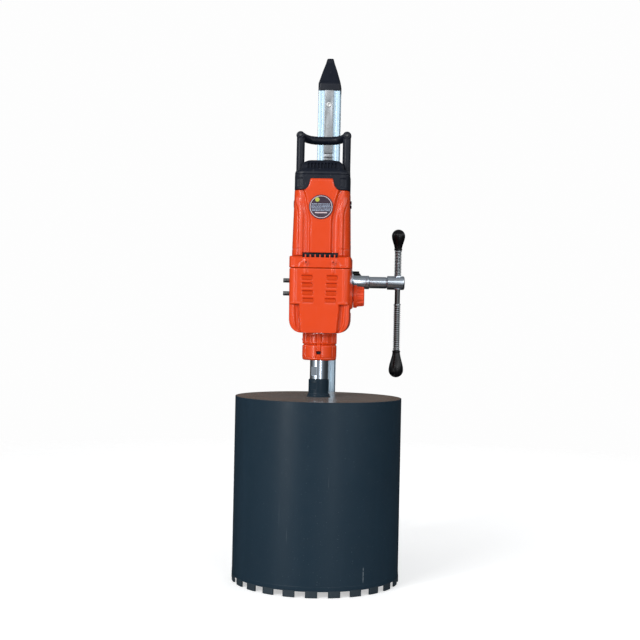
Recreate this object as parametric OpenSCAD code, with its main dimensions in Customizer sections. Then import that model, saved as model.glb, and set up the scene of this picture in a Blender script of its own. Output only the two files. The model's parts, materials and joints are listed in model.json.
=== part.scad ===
// Diamond core drill rig: a rack-fed column stand on a wheeled base, with a
// geared electric drill unit and a large core bit. Millimetres, +Z up.
// Origin: on the column's axis, in the plane of the base's underside.
// The drill stands in front of the column, towards -Y.

/* [Column] */
// Width of the column profile
col_w = 50; // [46:1:54]
// Depth of the column profile
col_d = 60; // [56:1:64]
// Height of the column's top end
col_top = 1067; // [1040:1:1160]
// Height of the tapered cap above the column
cap_h = 79; // [50:1:90]

/* [Feed] */
// Module of the rack and its pinion
rack_m = 2; // [2:0.5:2]
// Teeth on the feed pinion
pinion_z = 14; // [14:1:14]
// Height of the feed shaft
feed_z = 630; // [620:1:640]
// Distance of the sliding bar from the column's middle plane
bar_x = 164; // [160:1:190]

/* [Drill] */
// Distance from the column's axis to the spindle's axis
throw = 235; // [232:1:260]
// Outer half width of the gear case
case_hw = 64; // [62:1:66]
// Outer half width of the motor housing at its front
motor_hw = 59; // [57:1:60]
// Radius of the neck that carries the water collar
neck_r = 36; // [34:1:38]
// Radius of the spindle
spindle_r = 19; // [17:0.5:19.5]

/* [Core bit] */
// Outer diameter of the core bit
bit_d = 350; // [250:5:350]
// Height of the bit, from its rim to its closed end
bit_h = 382; // [300:1:382]
// Wall of the bit's tube
bit_wall = 4; // [3:0.5:5]
// Number of cutting segments
seg_n = 24; // [16:1:26]

/* [Base] */
// Width of the base plate
base_w = 240; // [220:2:250]
// Rear edge of the base plate
base_rear = 340; // [330:1:380]
// Radius of the transport wheels
wheel_r = 42; // [38:1:46]

/* [Hidden] */
$fn = 48;
eps = 0.01;
fit = 0.05;            // radial running clearance
gap = 0.3;             // clearance between sliding or passing faces

// axes of the drill unit
sp_y = -throw;         // spindle
idler_m = 1.75;        // module of the output pair
motor_m = 1.25;        // module of the input pair
small_z = 12;          // teeth on both pinions
large_z = 44;          // teeth on both wheels
idler_y = sp_y + idler_m * (small_z + large_z) / 2;
arm_y = idler_y - motor_m * (small_z + large_z) / 2;

// heights, from the floor up
seg_h = 12;
seg_turn = 11.9;       // where the first segment starts, degrees from +X
bit_hub_top = 419;
neck_z0 = 459;
case_z0 = 516;
web_z = 588;
cover_z = 649;
motor_z = 670;
ledge_z = 677;
skirt_z = 812;
tongue_z = 835;
cap_z = 853;
dome_z = 876;
port_z = 486;          // water port in the neck
brush_z = 787;
knob_z = 594;          // gear selector

// fronts and backs
case_front = sp_y - 55;
case_back = sp_y + 87;
motor_front = sp_y - 49;
motor_back = sp_y + 75;

// carriage
car_hw = 55;
car_z0 = 545;
car_z1 = 715;
car_front = -84;
car_back = 24;
rack_w = 20;
rack_face = -34;       // pitch line of the rack
pinion_r = rack_m * pinion_z / 2;
feed_y = rack_face - pinion_r;
rack_z0 = 150;
teeth_z0 = 212;
teeth_z1 = 921;

// ---------------------------------------------------------------- helpers
module rounded_rect(w, d, r) {
    square([w - 2 * r, d], center = true);
    square([w, d - 2 * r], center = true);
    for (x = [-1, 1], y = [-1, 1])
        translate([x * (w / 2 - r), y * (d / 2 - r)]) circle(r);
}

module along_x(x0, x1, r, y = 0, z = 0)
    translate([x0, y, z]) rotate([0, 90, 0]) cylinder(r = r, h = x1 - x0);

module along_y(y0, y1, r, x = 0, z = 0)
    translate([x, y0, z]) rotate([-90, 0, 0]) cylinder(r = r, h = y1 - y0);

module along_z(z0, z1, r, x = 0, y = 0)
    translate([x, y, z0]) cylinder(r = r, h = z1 - z0);

module block(x, y, z)
    translate([x[0], y[0], z[0]]) cube([x[1] - x[0], y[1] - y[0], z[1] - z[0]]);

module mirrored() {
    children();
    mirror([1, 0, 0]) children();
}

module ring(z0, z1, outer, inner, x = 0, y = 0)
    difference() {
        along_z(z0, z1, outer, x, y);
        along_z(z0 - 1, z1 + 1, inner, x, y);
    }

module hexagon(af, h) cylinder(r = af / 2 / cos(30), h = h, $fn = 6);

// socket head screw: head on z = 0 upwards, shank downwards
module socket_screw(d, length) {
    difference() {
        cylinder(r = 0.75 * d, h = d);
        translate([0, 0, 0.45 * d]) hexagon(0.8 * d, d);
    }
    translate([0, 0, -length]) cylinder(r = d / 2, h = length + eps);
}

// ---------------------------------------------------------------- gears
pressure = 20;
function roll(rb, r) = r <= rb ? 0 : sqrt(r * r / (rb * rb) - 1) * 180 / PI;
function inv(rb, r) = roll(rb, r) - atan(roll(rb, r) * PI / 180);

// one tooth of an external spur gear, centred on angle a: stub teeth with backlash
function tooth(m, z, a, slack) =
    let (r = m * z / 2, rb = r * cos(pressure), tip = r + 0.8 * m, root = r - 1.12 * m,
         half = 90 / z - slack / r * 90 / PI + inv(rb, r),
         rads = [for (k = [0:4]) max(rb, root) + (tip - max(rb, root)) * k / 4],
         up = [for (q = rads) [q, a - half + inv(rb, q)]],
         down = [for (k = [4:-1:0]) [rads[k], a + half - inv(rb, rads[k])]])
    concat([[root, a - half]], up, down, [[root, a + half]]);

module gear(m, z, width, start = 0, slack = 0.12) {
    outline = [for (k = [0:z - 1]) each tooth(m, z, start + 360 * k / z, slack)];
    linear_extrude(width) polygon([for (p = outline) p[0] * [cos(p[1]), sin(p[1])]]);
}

// ---------------------------------------------------------------- stand
foot_x = 98;
foot_front = -27;
foot_rear = base_rear - 52;
feet = [[-foot_x, foot_front], [foot_x, foot_front],
        [-foot_x, foot_rear], [foot_x, foot_rear]];
base_front = -50;
base_mid = (base_front + base_rear) / 2;
axle_y = base_rear + 14;
axle_z = wheel_r + 4;
lug_y = 292;
lug_z = 44;
brace_top = [52, 604];

module base_plate() color("dimgray") difference() {
    union() {
        translate([0, base_mid, 0]) linear_extrude(12)
            rounded_rect(base_w, base_rear - base_front, 22);
        // upstanding rim
        translate([0, base_mid, 0]) linear_extrude(24) difference() {
            rounded_rect(base_w, base_rear - base_front, 22);
            rounded_rect(base_w - 16, base_rear - base_front - 16, 16);
        }
        for (p = feet) along_z(0, 30, 18, p[0], p[1]);
        // ribs beside the anchor slot, and the slot's rim
        for (x = [-52, 44]) block([x, x + 8], [66, base_rear - 4], [0, 24]);
        translate([0, 190, 0]) linear_extrude(18) rounded_rect(40, 158, 19);
        // ears for the wheel axle
        for (x = [-94, 82]) {
            block([x, x + 12], [base_rear - 30, axle_y], [0, axle_z]);
            along_x(x, x + 12, 14, axle_y, axle_z);
        }
    }
    translate([0, 190, -1]) linear_extrude(20) rounded_rect(20, 140, 9.99);
    for (p = feet) along_z(-1, 31, 6 + fit, p[0], p[1]);
    along_x(-100, 100, 6, axle_y, axle_z);
    // tapped holes of the column bracket
    for (x = [-1, 1], y = [-36, 48]) along_z(-1, 13, 5, x * 50, y);
    // the bracket's seat breaks the front rim; the corners behind clear the wheels
    block([-64, 64], [base_front - 1, -41.9], [12, 30]);
    mirrored() block([104, 130], [306, 420], [-1, 30]);
    // clearance under the wheel ears' round ends
    block([-100, 100], [base_rear, axle_y + 20], [-1, axle_z - 14.5]);
}

bracket_h = 134;
module column_bracket() color("dimgray") difference() {
    union() {
        translate([0, 6, 12 + eps]) linear_extrude(14) rounded_rect(124, 108, 10);
        translate([0, 3, 12 + eps]) linear_extrude(bracket_h - 12)
            rounded_rect(82, 94, 9);
        // side webs
        mirrored() translate([40, 6, 25]) rotate([90, 0, 0])
            linear_extrude(10, center = true) polygon([[0, 0], [20, 0], [0, 70]]);
    }
    // socket for the column
    translate([0, 0, -1]) linear_extrude(200) square([col_w, col_d], center = true);
    // clamp slot at the rear
    block([-2, 2], [29, 60], [40, 200]);
    for (x = [-1, 1], y = [-36, 48]) along_z(-1, 60, 5.5, x * 50, y);
    for (z = [64, 112]) along_x(-60, 60, 4.2, 41, z);
}

module stand_bolts() color("silver") {
    for (x = [-1, 1], y = [-36, 48])
        translate([x * 50, y, 26 + 2 * eps]) socket_screw(10, 24);
    // clamp screws across the bracket's rear slot
    for (z = [64, 112]) translate([41 + eps, 41, z]) rotate([0, 90, 0])
        socket_screw(8, 80);
    // pins of the brace
    for (p = [brace_top, [lug_y, lug_z]]) {
        along_x(-24, 24, 6, p[0], p[1]);
        for (x = [-31, 24]) translate([x, p[0], p[1]]) rotate([0, 90, 0])
            hexagon(18, 7);
    }
}

module column_profile() difference() {
    rounded_rect(col_w, col_d, 3);
    // rack groove, side guide grooves and rear slot
    translate([-rack_w / 2, -col_d / 2 - 1]) square([rack_w, 7]);
    mirrored() translate([col_w / 2 - 4, -7]) square([10, 14]);
    translate([-5, col_d / 2 - 5]) square([10, 10]);
    // two inner chambers
    translate([0, -9]) rounded_rect(33, 17, 3);
    translate([0, 11]) rounded_rect(33, 17, 3);
    // fine decorative flutes along the front lands
    mirrored() translate([16, -col_d / 2]) circle(0.7, $fn = 16);
}

module column() color("lightsteelblue") difference() {
    translate([0, 0, 12 + eps]) linear_extrude(col_top - 12) column_profile();
    for (z = [170, 900, 1034]) along_y(-40, -10, 3, 0, z);
    // tapped holes for the brace's upper lug
    for (z = [-22, 22]) along_y(18, 40, 3.5, 0, brace_top[1] + z);
}

rack_pitch = PI * rack_m;
module rack() color("gray") difference() {
    union() {
        block([-rack_w / 2, rack_w / 2], [-31.2, -24], [rack_z0, col_top]);
        block([-rack_w / 2, rack_w / 2], [-35.4, -31.3 + 0.2], [rack_z0, teeth_z0 - 4]);
        block([-rack_w / 2, rack_w / 2], [-35.4, -31.3 + 0.2], [teeth_z1 + 3, col_top]);
        rotate([90, 0, 90]) linear_extrude(rack_w, center = true) rack_teeth();
    }
    for (z = [170, 1034]) {
        along_y(-40, -20, 3.2, 0, z);
        along_y(-40, -32, 6.2, 0, z);
    }
}

// straight-sided teeth whose spaces are centred on the feed shaft's height
module rack_teeth() {
    t = tan(pressure);
    half = rack_pitch / 4 - 0.09;
    n0 = ceil((teeth_z0 - feed_z) / rack_pitch);
    n1 = floor((teeth_z1 - feed_z) / rack_pitch) - 1;
    for (k = [n0:n1]) {
        z = feed_z + (k + 0.5) * rack_pitch;
        polygon([[-31.1, z - half - 2.9 * t], [rack_face, z - half],
                 [rack_face - 1.6, z - half + 1.6 * t],
                 [rack_face - 1.6, z + half - 1.6 * t],
                 [rack_face, z + half], [-31.1, z + half + 2.9 * t]]);
    }
}

module rack_screws() color("silver") for (z = [170, 1034])
    translate([0, -32 - eps, z]) rotate([90, 0, 0]) difference() {
        union() {
            cylinder(r = 6, h = 3.2);
            translate([0, 0, -14]) cylinder(r = 3, h = 14 + eps);
        }
        translate([0, 0, 1.4]) hexagon(5, 4);
    }

// tapered end cap of the column, hollow below
module column_cap() color("black") difference() {
    union() {
        translate([0, 0, col_top + eps]) linear_extrude(14) rounded_rect(51, 62, 4);
        translate([0, 0, col_top + 14]) hull() {
            linear_extrude(1) rounded_rect(51, 62, 4, $fn = 16);
            translate([0, 0, cap_h - 15]) linear_extrude(1)
                rounded_rect(16, 20, 2, $fn = 16);
        }
    }
    translate([0, 0, col_top + 4]) linear_extrude(8) rounded_rect(42, 52, 3);
}

brace_dy = lug_y - brace_top[0];
brace_dz = lug_z - brace_top[1];
brace_len = norm([brace_dy, brace_dz]);
module brace() color("dimgray")
    translate([0, brace_top[0], brace_top[1]])
        rotate([atan2(brace_dz, brace_dy), 0, 0]) difference() {
            union() {
                block([-9.8, 9.8], [16, brace_len - 16], [-14, 14]);
                for (y = [0, brace_len]) along_x(-9.8, 9.8, 14, y, 0);
                for (y = [0, brace_len - 20]) block([-9.8, 9.8], [y, y + 20], [-14, 14]);
            }
            for (y = [0, brace_len]) along_x(-20, 20, 6, y, 0);
            // lightening flutes in both sides
            mirrored() block([6, 20], [30, brace_len - 30], [-8, 8]);
        }

module brace_lugs() color("dimgray") {
    difference() {
        union() {
            block([-20, 20], [30 + eps, 36], [brace_top[1] - 34, brace_top[1] + 34]);
            for (x = [-20, 10]) {
                block([x, x + 10], [36, brace_top[0]],
                      [brace_top[1] - 12, brace_top[1] + 12]);
                along_x(x, x + 10, 12, brace_top[0], brace_top[1]);
            }
        }
        along_x(-30, 30, 6, brace_top[0], brace_top[1]);
        for (z = [-22, 22]) along_y(20, 40, 3.6, 0, brace_top[1] + z);
    }
    difference() {
        union() {
            block([-30, 30], [lug_y - 22, lug_y + 22], [12 + eps, 20]);
            for (x = [-20, 10]) {
                block([x, x + 10], [lug_y - 12, lug_y + 12], [20, lug_z]);
                along_x(x, x + 10, 12, lug_y, lug_z);
            }
        }
        along_x(-30, 30, 6, lug_y, lug_z);
    }
}

module jam_nuts() color("silver") for (p = feet) difference() {
    translate([p[0], p[1], 30 + eps]) hexagon(19, 7);
    along_z(20, 50, 6 + fit, p[0], p[1]);
}

module level_screw(k) color("silver") {
    p = feet[k];
    along_z(4, 60, 6, p[0], p[1]);
    translate([p[0], p[1], 0.8]) cylinder(r1 = 2.5, r2 = 6, h = 3.2 + eps);
    translate([p[0], p[1], 60]) hexagon(19, 8);
}

wheel_in = 108;
wheel_out = 134;
module wheel_axle() color("silver") {
    along_x(-wheel_out - 5, wheel_out + 5, 6, axle_y, axle_z);
    mirrored() {
        difference() {
            along_x(94 + eps, wheel_in - gap, 9, axle_y, axle_z);
            along_x(80, 120, 6, axle_y, axle_z);
        }
        difference() {
            along_x(wheel_out + gap, wheel_out + 3, 10, axle_y, axle_z);
            along_x(100, 160, 6, axle_y, axle_z);
        }
    }
}

module wheel() color("black") difference() {
    translate([(wheel_in + wheel_out) / 2, axle_y, axle_z]) rotate([0, 90, 0])
        rotate_extrude($fn = 64) difference() {
            union() {
                translate([0, -13]) square([wheel_r - 4, 26]);
                translate([0, -9]) square([wheel_r, 18]);
                for (z = [-1, 1]) translate([wheel_r - 4, z * 9]) circle(4);
            }
            // dished sides
            for (z = [-1, 1]) translate([14, z * 13 - 5]) square([16, 10]);
        }
    along_x(80, 160, 6 + fit, axle_y, axle_z);
}

// ---------------------------------------------------------------- carriage
lock_z = 650;
gib_z = [603, 633];
module carriage_body() color("dimgray") difference() {
    union() {
        block([-car_hw, car_hw], [car_front, car_back - 8], [car_z0, car_z1]);
        block([-car_hw + 8, car_hw - 8], [car_back - 9, car_back], [car_z0, car_z1]);
    }
    // channel for the column and the rack
    block([-col_w / 2 - gap, col_w / 2 + gap], [-col_d / 2 - gap, 60], [500, 800]);
    block([-rack_w / 2 - 1.5, rack_w / 2 + 1.5], [-38, 0], [500, 800]);
    // pockets for the guide pads
    mirrored() block([20, 31], [-6.9, 6.9], [car_z0 + 6, car_z1 - 6]);
    // pinion chamber and bearing seats
    along_x(-14, 14, 17.5, feed_y, feed_z);
    along_x(13, 60, 17, feed_y, feed_z);
    along_x(-60, -13, 13, feed_y, feed_z);
    // lock and guide screws
    along_x(30, 60, 5 + fit, 0, lock_z);
    for (z = gib_z) along_x(-60, -30, 5, 0, z);
    // front corners taken off above and below the bearing
    mirrored() for (s = [[car_z0 - 1, 597], [665, car_z1 + 1]])
        translate([car_hw, car_front, s[0]]) linear_extrude(s[1] - s[0])
            polygon([[-14, -1], [1, -1], [1, 30], [0, 30]]);
    // spacer bolt holes
    for (x = [-1, 1], z = [572, 688]) along_y(-90, -62, 4.25, x * 33, z);
}

module gib_pads() color("goldenrod")
    mirrored() block([21.1, 31], [-6.85, 6.85], [car_z0 + 6, car_z1 - 6]);

module gib_screws() color("silver") for (z = gib_z) {
    along_x(-99, -31.01, 5, 0, z);
    translate([-car_hw - 7.01, 0, z]) rotate([0, 90, 0]) difference() {
        hexagon(17, 7);
        translate([0, 0, -1]) cylinder(r = 5.001, h = 9);
    }
}

sleeve_end = 100;
module pinion_housing() color("silver") difference() {
    union() {
        along_x(14.2, car_hw + 1, 17, feed_y, feed_z);
        along_x(car_hw + eps, 62, 26, feed_y, feed_z);
        along_x(61, sleeve_end, 15.2, feed_y, feed_z);
    }
    along_x(10, 110, 12.5, feed_y, feed_z);
    for (a = [45:90:315]) translate([0, feed_y, feed_z]) rotate([a, 0, 0])
        along_x(50, 70, 2, 21.5, 0);
}

module pinion_bushes() color("goldenrod") {
    difference() {
        along_x(14.2, sleeve_end, 12.5, feed_y, feed_z);
        along_x(10, 110, 10 + fit, feed_y, feed_z);
    }
    difference() {
        along_x(-car_hw, -14.2, 13, feed_y, feed_z);
        along_x(-60, -10, 10 + fit, feed_y, feed_z);
    }
}

module mount_spacer() color("dimgray") difference() {
    union() {
        block([-42, 42], [case_back + eps, car_front - 10], [560, 700]);
        block([-46, 46], [car_front - 12, car_front - eps], [555, 705]);
    }
    // side pockets between ribs
    mirrored() for (z = [572, 636]) block([30, 60], [case_back + 12, car_front - 22],
                                          [z, z + 52]);
    for (x = [-1, 1], z = [572, 688]) along_y(-110, -70, 5.25, x * 33, z);
    mirrored() for (z = [559.5, 676]) block([23, 60], [-140, car_front - 12],
                                            [z, z + 24.5]);
}

module spacer_bolts() color("silver")
    for (x = [-1, 1], z = [572, 688])
        translate([x * 33, car_front - 12 - eps, z]) rotate([90, 0, 0])
            socket_screw(8, 32);

module lock_lever() color("black") {
    along_x(31.3, 58, 5, 0, lock_z);
    along_x(58 - 1.5, 76, 7, 0, lock_z);
    hull() {
        along_x(62, 74, 6, 0, lock_z, $fn = 24);
        translate([93, 0, lock_z - 26]) sphere(5.5, $fn = 24);
    }
}

module bubble_level() color("gold") {
    // block on the carriage's top, with the vial in its bore
    difference() {
        block([-47, -29], [-72, -36], [car_z1 + eps, car_z1 + 16]);
        along_y(-80, -30, 5, -38, car_z1 + 8);
        block([-41, -35], [-66, -42], [car_z1 + 8, car_z1 + 20]);
    }
    along_y(-71, -37, 4.99, -38, car_z1 + 8);
}

// ---------------------------------------------------------------- feed drive
head_x = 138;
hub_end = 180;
module feed_shaft() color("gray") {
    along_x(-60, 128, 10, feed_y, feed_z);
    translate([-9, feed_y, feed_z]) rotate([90, 0, 90])
        gear(rack_m, pinion_z, 18, 0, 0.1);
    // thrust collars either side of the bushes
    along_x(-62, -car_hw - gap, 13, feed_y, feed_z);
    along_x(-14 + gap, -9, 11.5, feed_y, feed_z);
    along_x(9, 14 - gap, 11.5, feed_y, feed_z);
}

module feed_hub() color("silver") difference() {
    union() {
        along_x(sleeve_end + gap, head_x, 13, feed_y, feed_z);
        along_x(head_x, head_x + 1.2, 12.2, feed_y, feed_z);
        translate([0, feed_y, feed_z]) rotate([0, 90, 0]) rotate_extrude()
            polygon([[0, head_x + 1], [14.5, head_x + 1], [15.5, head_x + 2],
                     [15.5, hub_end - 2], [13.5, hub_end], [0, hub_end]]);
    }
    along_x(sleeve_end - 5, 128 + eps, 10 + eps, feed_y, feed_z);
    along_z(500, 700, 6 + fit, bar_x, feed_y);
}

bar_low = 417;
bar_high = 751;
low_knob = 61;
high_knob = 48;
module sliding_bar() color("gray")
    along_z(bar_low + 10, bar_high - 10, 6, bar_x, feed_y);

// teardrop grip: outline from its mouth at 0 to its round end at length
module grip(length, r) rotate_extrude($fn = 40) polygon(concat(
    [[6.01, 0], [8.6, 0]],
    [for (k = [1:5]) [8.6 + (r - 8.6) * sin(k * 18), (length - r) * k / 5]],
    [for (a = [10:10:90]) [r * cos(a), length - r + r * sin(a)]],
    [[0, length - 10], [6.01, length - 10]]));

module bar_knobs() color("black") {
    translate([bar_x, feed_y, bar_high - high_knob]) grip(high_knob, 15);
    translate([bar_x, feed_y, bar_low + low_knob]) mirror([0, 0, 1])
        grip(low_knob, 16.4);
}

wire = 1.8;
coils = 23;
spring_free = 105;
spring_r = 7.2;
steps = 12;
sides = 6;
// helical spring standing on z = 0
module spring(height) {
    n = coils * steps;
    function centre(k) = [spring_r * cos(360 * k / steps),
                          spring_r * sin(360 * k / steps),
                          wire / 2 + (height - wire) * k / n];
    points = [for (k = [0:n], j = [0:sides - 1])
        let (a = 360 * k / steps, b = 360 * j / sides)
        centre(k) + wire / 2 * [cos(b) * cos(a), cos(b) * sin(a), sin(b)]];
    walls = [for (k = [0:n - 1], j = [0:sides - 1])
        let (a = k * sides + j, b = k * sides + (j + 1) % sides)
        [a, b, b + sides, a + sides]];
    polyhedron(points, concat(walls, [[for (j = [sides - 1:-1:0]) j]],
                              [[for (j = [0:sides - 1]) n * sides + j]]));
}

module bar_springs() color("silver") {
    translate([bar_x, feed_y, feed_z + 15.6])
        spring(bar_high - high_knob - feed_z - 15.7);
    translate([bar_x, feed_y, bar_low + low_knob + 0.1]) spring(spring_free);
}

// ---------------------------------------------------------------- drill unit
module case_plan() translate([0, (case_front + case_back) / 2])
    rounded_rect(2 * case_hw, case_back - case_front, 12);

// front view of the gear case: square above, rounded in to the neck below
module case_view() {
    translate([-case_hw, 541]) square([2 * case_hw, cover_z - 541]);
    translate([-39, case_z0]) square([78, 30]);
    mirrored() translate([case_hw - 25, 541]) circle(25);
}

module selector_boss() along_x(case_hw - 1, 68.7, 26, sp_y, knob_z);

module gear_case() color("orangered") difference() {
    union() {
        difference() {
            intersection() {
                translate([0, 0, case_z0 + eps])
                    linear_extrude(cover_z - case_z0 - eps) case_plan();
                translate([0, sp_y, 0]) rotate([90, 0, 0])
                    linear_extrude(300, center = true) case_view();
            }
            // gear chambers below and above the web
            for (s = [[541, web_z], [web_z + 10, cover_z + 1]])
                translate([0, (case_front + case_back) / 2 + 1.5, s[0]])
                    linear_extrude(s[1] - s[0]) rounded_rect(112, 127, 8);
            translate([0, (case_front + case_back) / 2 + 1.5, 528])
                linear_extrude(20) rounded_rect(76, 127, 8);
            // wings set back below their step
            mirrored() block([38, 70], [case_front - 1, case_front + 5], [500, 575]);
            // louvres
            for (x = [-25.5, 25.5], z = [585, 601, 616.5, 632])
                block([x - 11.5, x + 11.5], [case_front - 1, case_front + 3],
                      [z, z + 3.6]);
        }
        selector_boss();
        along_x(46, case_hw - 1, 13, sp_y, knob_z);
    }
    // spindle, idler and selector bores
    along_z(500, 530, 20, 0, sp_y);
    along_z(518, 530, 13, 0, idler_y);
    along_z(web_z - 1, web_z + 11, 21, 0, sp_y);
    along_z(web_z - 1, web_z + 11, 15, 0, idler_y);
    along_x(52, 70, 8 + fit, sp_y, knob_z);
}

module gear_cover() color("orangered") difference() {
    union() {
        difference() {
            translate([0, 0, cover_z + eps]) linear_extrude(ledge_z - cover_z - eps)
                case_plan();
            // fan chamber, open to the vent slot
            along_z(663, 690, 48, 0, arm_y);
            block([-36.5, 36.5], [case_front - 1, -255], [672, 690]);
        }
        for (k = [-3:3]) block([k * 10 - 1.3, k * 10 + 1.3], [case_front + 2, -268],
                               [671, 676]);
    }
    // bearing seats
    along_z(651, 664, 16, 0, arm_y);
    along_z(640, 660, 13, 0, idler_y);
    along_z(640, 660, 8, 0, arm_y);
    screw_seats(5.01);
}

screw_spots = [[-28, 1], [28, 1], [-49, -1], [49, -1]];
module screw_seats(r) for (s = screw_spots)
    if (s[1] > 0) along_y(case_front - 1, case_front + 12, 2.52, s[0], 661);
    else along_y(case_back - 12, case_back + 1, 2.52, s[0], 661);

module motor_view() polygon([[-61.8, ledge_z], [61.8, ledge_z], [58.6, skirt_z],
                             [-58.6, skirt_z]]);
module motor_housing() color("orangered") difference() {
    union() {
        intersection() {
            translate([0, (motor_front + motor_back) / 2 + 3, ledge_z + eps])
                linear_extrude(skirt_z - ledge_z)
                    rounded_rect(123.6, motor_back - motor_front - 6, 24);
            translate([0, arm_y, 0]) rotate([90, 0, 0])
                linear_extrude(200, center = true) motor_view();
        }
        // raised front panel, wide at the top and narrow below
        translate([0, motor_front + 12, 0]) rotate([90, 0, 0]) linear_extrude(12)
            polygon([[-23, ledge_z + 5.1], [23, ledge_z + 5.1], [23, 757], [36, 792],
                     [36, skirt_z], [-36, skirt_z], [-36, 792], [-23, 757]]);
        // tongue that rises between the cap's legs
        translate([0, motor_front + 12, 0]) rotate([90, 0, 0]) linear_extrude(12)
            polygon([[-27, skirt_z - 5], [27, skirt_z - 5], [23, tongue_z],
                     [-23, tongue_z]]);
    }
    along_z(670, 803, 51, 0, arm_y);
    along_z(800, 820, 14, 0, arm_y);
    // flutes down the front corners
    mirrored() along_z(684, 800, 9, 44, motor_front);
    // vent slot, brush holes, switch recess and cable hole
    block([-36.5, 36.5], [motor_front - 10, -255], [670, 682]);
    along_x(-80, 80, 8, arm_y, brush_z);
    block([-10.5, 10.5], [motor_back - 6, motor_back + 1], [752.5, 787.5]);
    along_y(motor_back - 30, motor_back + 1, 6, -34, 745);
}

cap_front = motor_front + 4;
module cap_view() polygon([[-57.5, skirt_z + eps], [57.5, skirt_z + eps], [57.5, 845],
    [54, cap_z], [45, 857], [43, 867], [33, dome_z], [-33, dome_z], [-43, 867],
    [-45, 857], [-54, cap_z], [-57.5, 845]]);
module cap_side() polygon([[cap_front, skirt_z], [motor_back - 1, skirt_z],
    [motor_back - 1, cap_z], [motor_back - 12, 860], [motor_back - 20, dome_z],
    [cap_front + 16, dome_z], [cap_front + 9, 857], [cap_front + 2, cap_z],
    [cap_front, 848]]);
arm_x = 48.5;
handle_y = -228;
module top_cap() color("black") difference() {
    intersection() {
        translate([0, (cap_front + motor_back - 1) / 2, skirt_z])
            linear_extrude(80) rounded_rect(115, motor_back - 1 - cap_front, 22);
        translate([0, arm_y, 0]) rotate([90, 0, 0]) linear_extrude(200, center = true)
            cap_view();
        rotate([90, 0, 90]) linear_extrude(200, center = true) cap_side();
    }
    // hollow, notch for the housing's tongue
    block([-36, 36], [cap_front + 14, motor_back - 14], [800, 868]);
    block([-27.2, 27.2], [cap_front - 5, motor_front + 12 + eps], [800, tongue_z + 1]);
    // vents in the dome's front and rear
    for (k = [-4:4]) block([k * 7 - 1.7, k * 7 + 1.7], [-330, -100], [858, 866]);
    // sockets of the handle
    mirrored() along_z(828, 900, 8.01, arm_x, handle_y);
}

module bent_bar(path, r) for (k = [0:len(path) - 2]) hull() for (p = [path[k], path[k + 1]])
    translate(p) sphere(r, $fn = 20);

module carry_handle() color("black") {
    bent_bar([[-arm_x, handle_y, 932], [-30, handle_y + 34, 926],
              [30, handle_y + 34, 926], [arm_x, handle_y, 932]], 7.9);
    mirrored() {
        along_z(829, 932, 7.9, arm_x, handle_y);
        translate([arm_x, handle_y, 932]) sphere(8);
    }
}

module neck_housing() color("orangered") difference() {
    translate([0, sp_y, 0]) rotate_extrude($fn = 96) difference() {
        polygon([[0, neck_z0], [neck_r - 4, neck_z0], [neck_r, neck_z0 + 5],
                 [neck_r, 490], [neck_r - 1, 490], [neck_r - 1, 492],
                 [neck_r, 492], [neck_r, case_z0], [0, case_z0]]);
        // spindle passage, seal seats, water chamber, bearing seat
        for (s = [[450, 530, spindle_r + 1], [464, 474, 27], [480, 492, 25],
                  [492 - eps, 500, 27], [500 - eps, 530, 30]])
            translate([-1, s[0]]) square([s[2] + 1, s[1] - s[0]]);
    }
    // relief panels beside a central rib, weep slot, water port
    mirrored() block([6, 29], [sp_y - 60, sp_y - neck_r + 4], [495, 511]);
    block([-5.5, 5.5], [sp_y - 60, sp_y - 18], [475, 479]);
    along_y(sp_y + 18, sp_y + 50, 5, 0, port_z);
}

valve_y = -177;
module water_valve() color("goldenrod") difference() {
    union() {
        along_y(sp_y + 26, sp_y + 41, 4.99, 0, port_z);
        along_y(sp_y + neck_r + 0.1, -160, 10, 0, port_z);
        along_z(port_z, 498, 7, 0, valve_y);
        along_y(-161, -130, 6.5, 0, port_z);
        translate([0, -160, port_z]) rotate([-90, 0, 0]) hexagon(19, 6);
    }
    along_y(sp_y + 20, -120, 3, 0, port_z);
    along_z(491, 500, 4 + fit, 0, valve_y);
}

module valve_lever() color("tomato") {
    along_z(491.3, 500, 4, 0, valve_y);
    along_z(498.3, 503, 7, 0, valve_y);
    block([-36, 0], [valve_y - 5, valve_y + 5], [499, 502.5]);
    along_z(499, 502.5, 5, -36, valve_y);
}

module badge() color("indigo") difference() {
    along_y(motor_front - 1.8, motor_front - eps, 25, 0, 776);
    along_y(motor_front - 2, motor_front - 1.2, 22.5, 0, 776);
}

module stator() color("gray") {
    ring(695, 765, 50.9, 32, 0, arm_y);
    for (z = [686, 765 - eps]) ring(z, z + 9 + eps, 46, 35, 0, arm_y);
}

module brush_holders() color("goldenrod") mirrored() {
    difference() {
        block([20, 50], [arm_y - 6, arm_y + 6], [brush_z - 6, brush_z + 6]);
        block([10, 60], [arm_y - 4, arm_y + 4], [brush_z - 4, brush_z + 4]);
    }
    // carbon brush
    block([17 + gap, 44], [arm_y - 4, arm_y + 4], [brush_z - 4, brush_z + 4]);
    along_x(46, 49.5, 8.5, arm_y, brush_z);
}

module brush_caps() color("black") mirrored() difference() {
    along_x(51.6, 60.6, 7.99, arm_y, brush_z);
    block([58.8, 61], [arm_y - 10, arm_y + 10], [brush_z - 1, brush_z + 1]);
}

module housing_screws() color("silver") for (s = screw_spots)
    if (s[1] > 0) translate([s[0], case_front - eps, 661]) rotate([90, 0, 0])
        socket_screw(5, 12);
    else translate([s[0], case_back + eps, 661]) rotate([-90, 0, 0])
        socket_screw(5, 12);

module cable_gland() color("black") difference() {
    union() {
        along_y(motor_back - 9, motor_back + 1, 5.99, -34, 745);
        translate([-34, motor_back + eps, 745]) rotate([-90, 0, 0]) hexagon(20, 6);
        along_y(motor_back + 5, motor_back + 20, 8, -34, 745);
    }
    along_y(motor_back - 20, motor_back + 30, 4.5, -34, 745);
}

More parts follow.
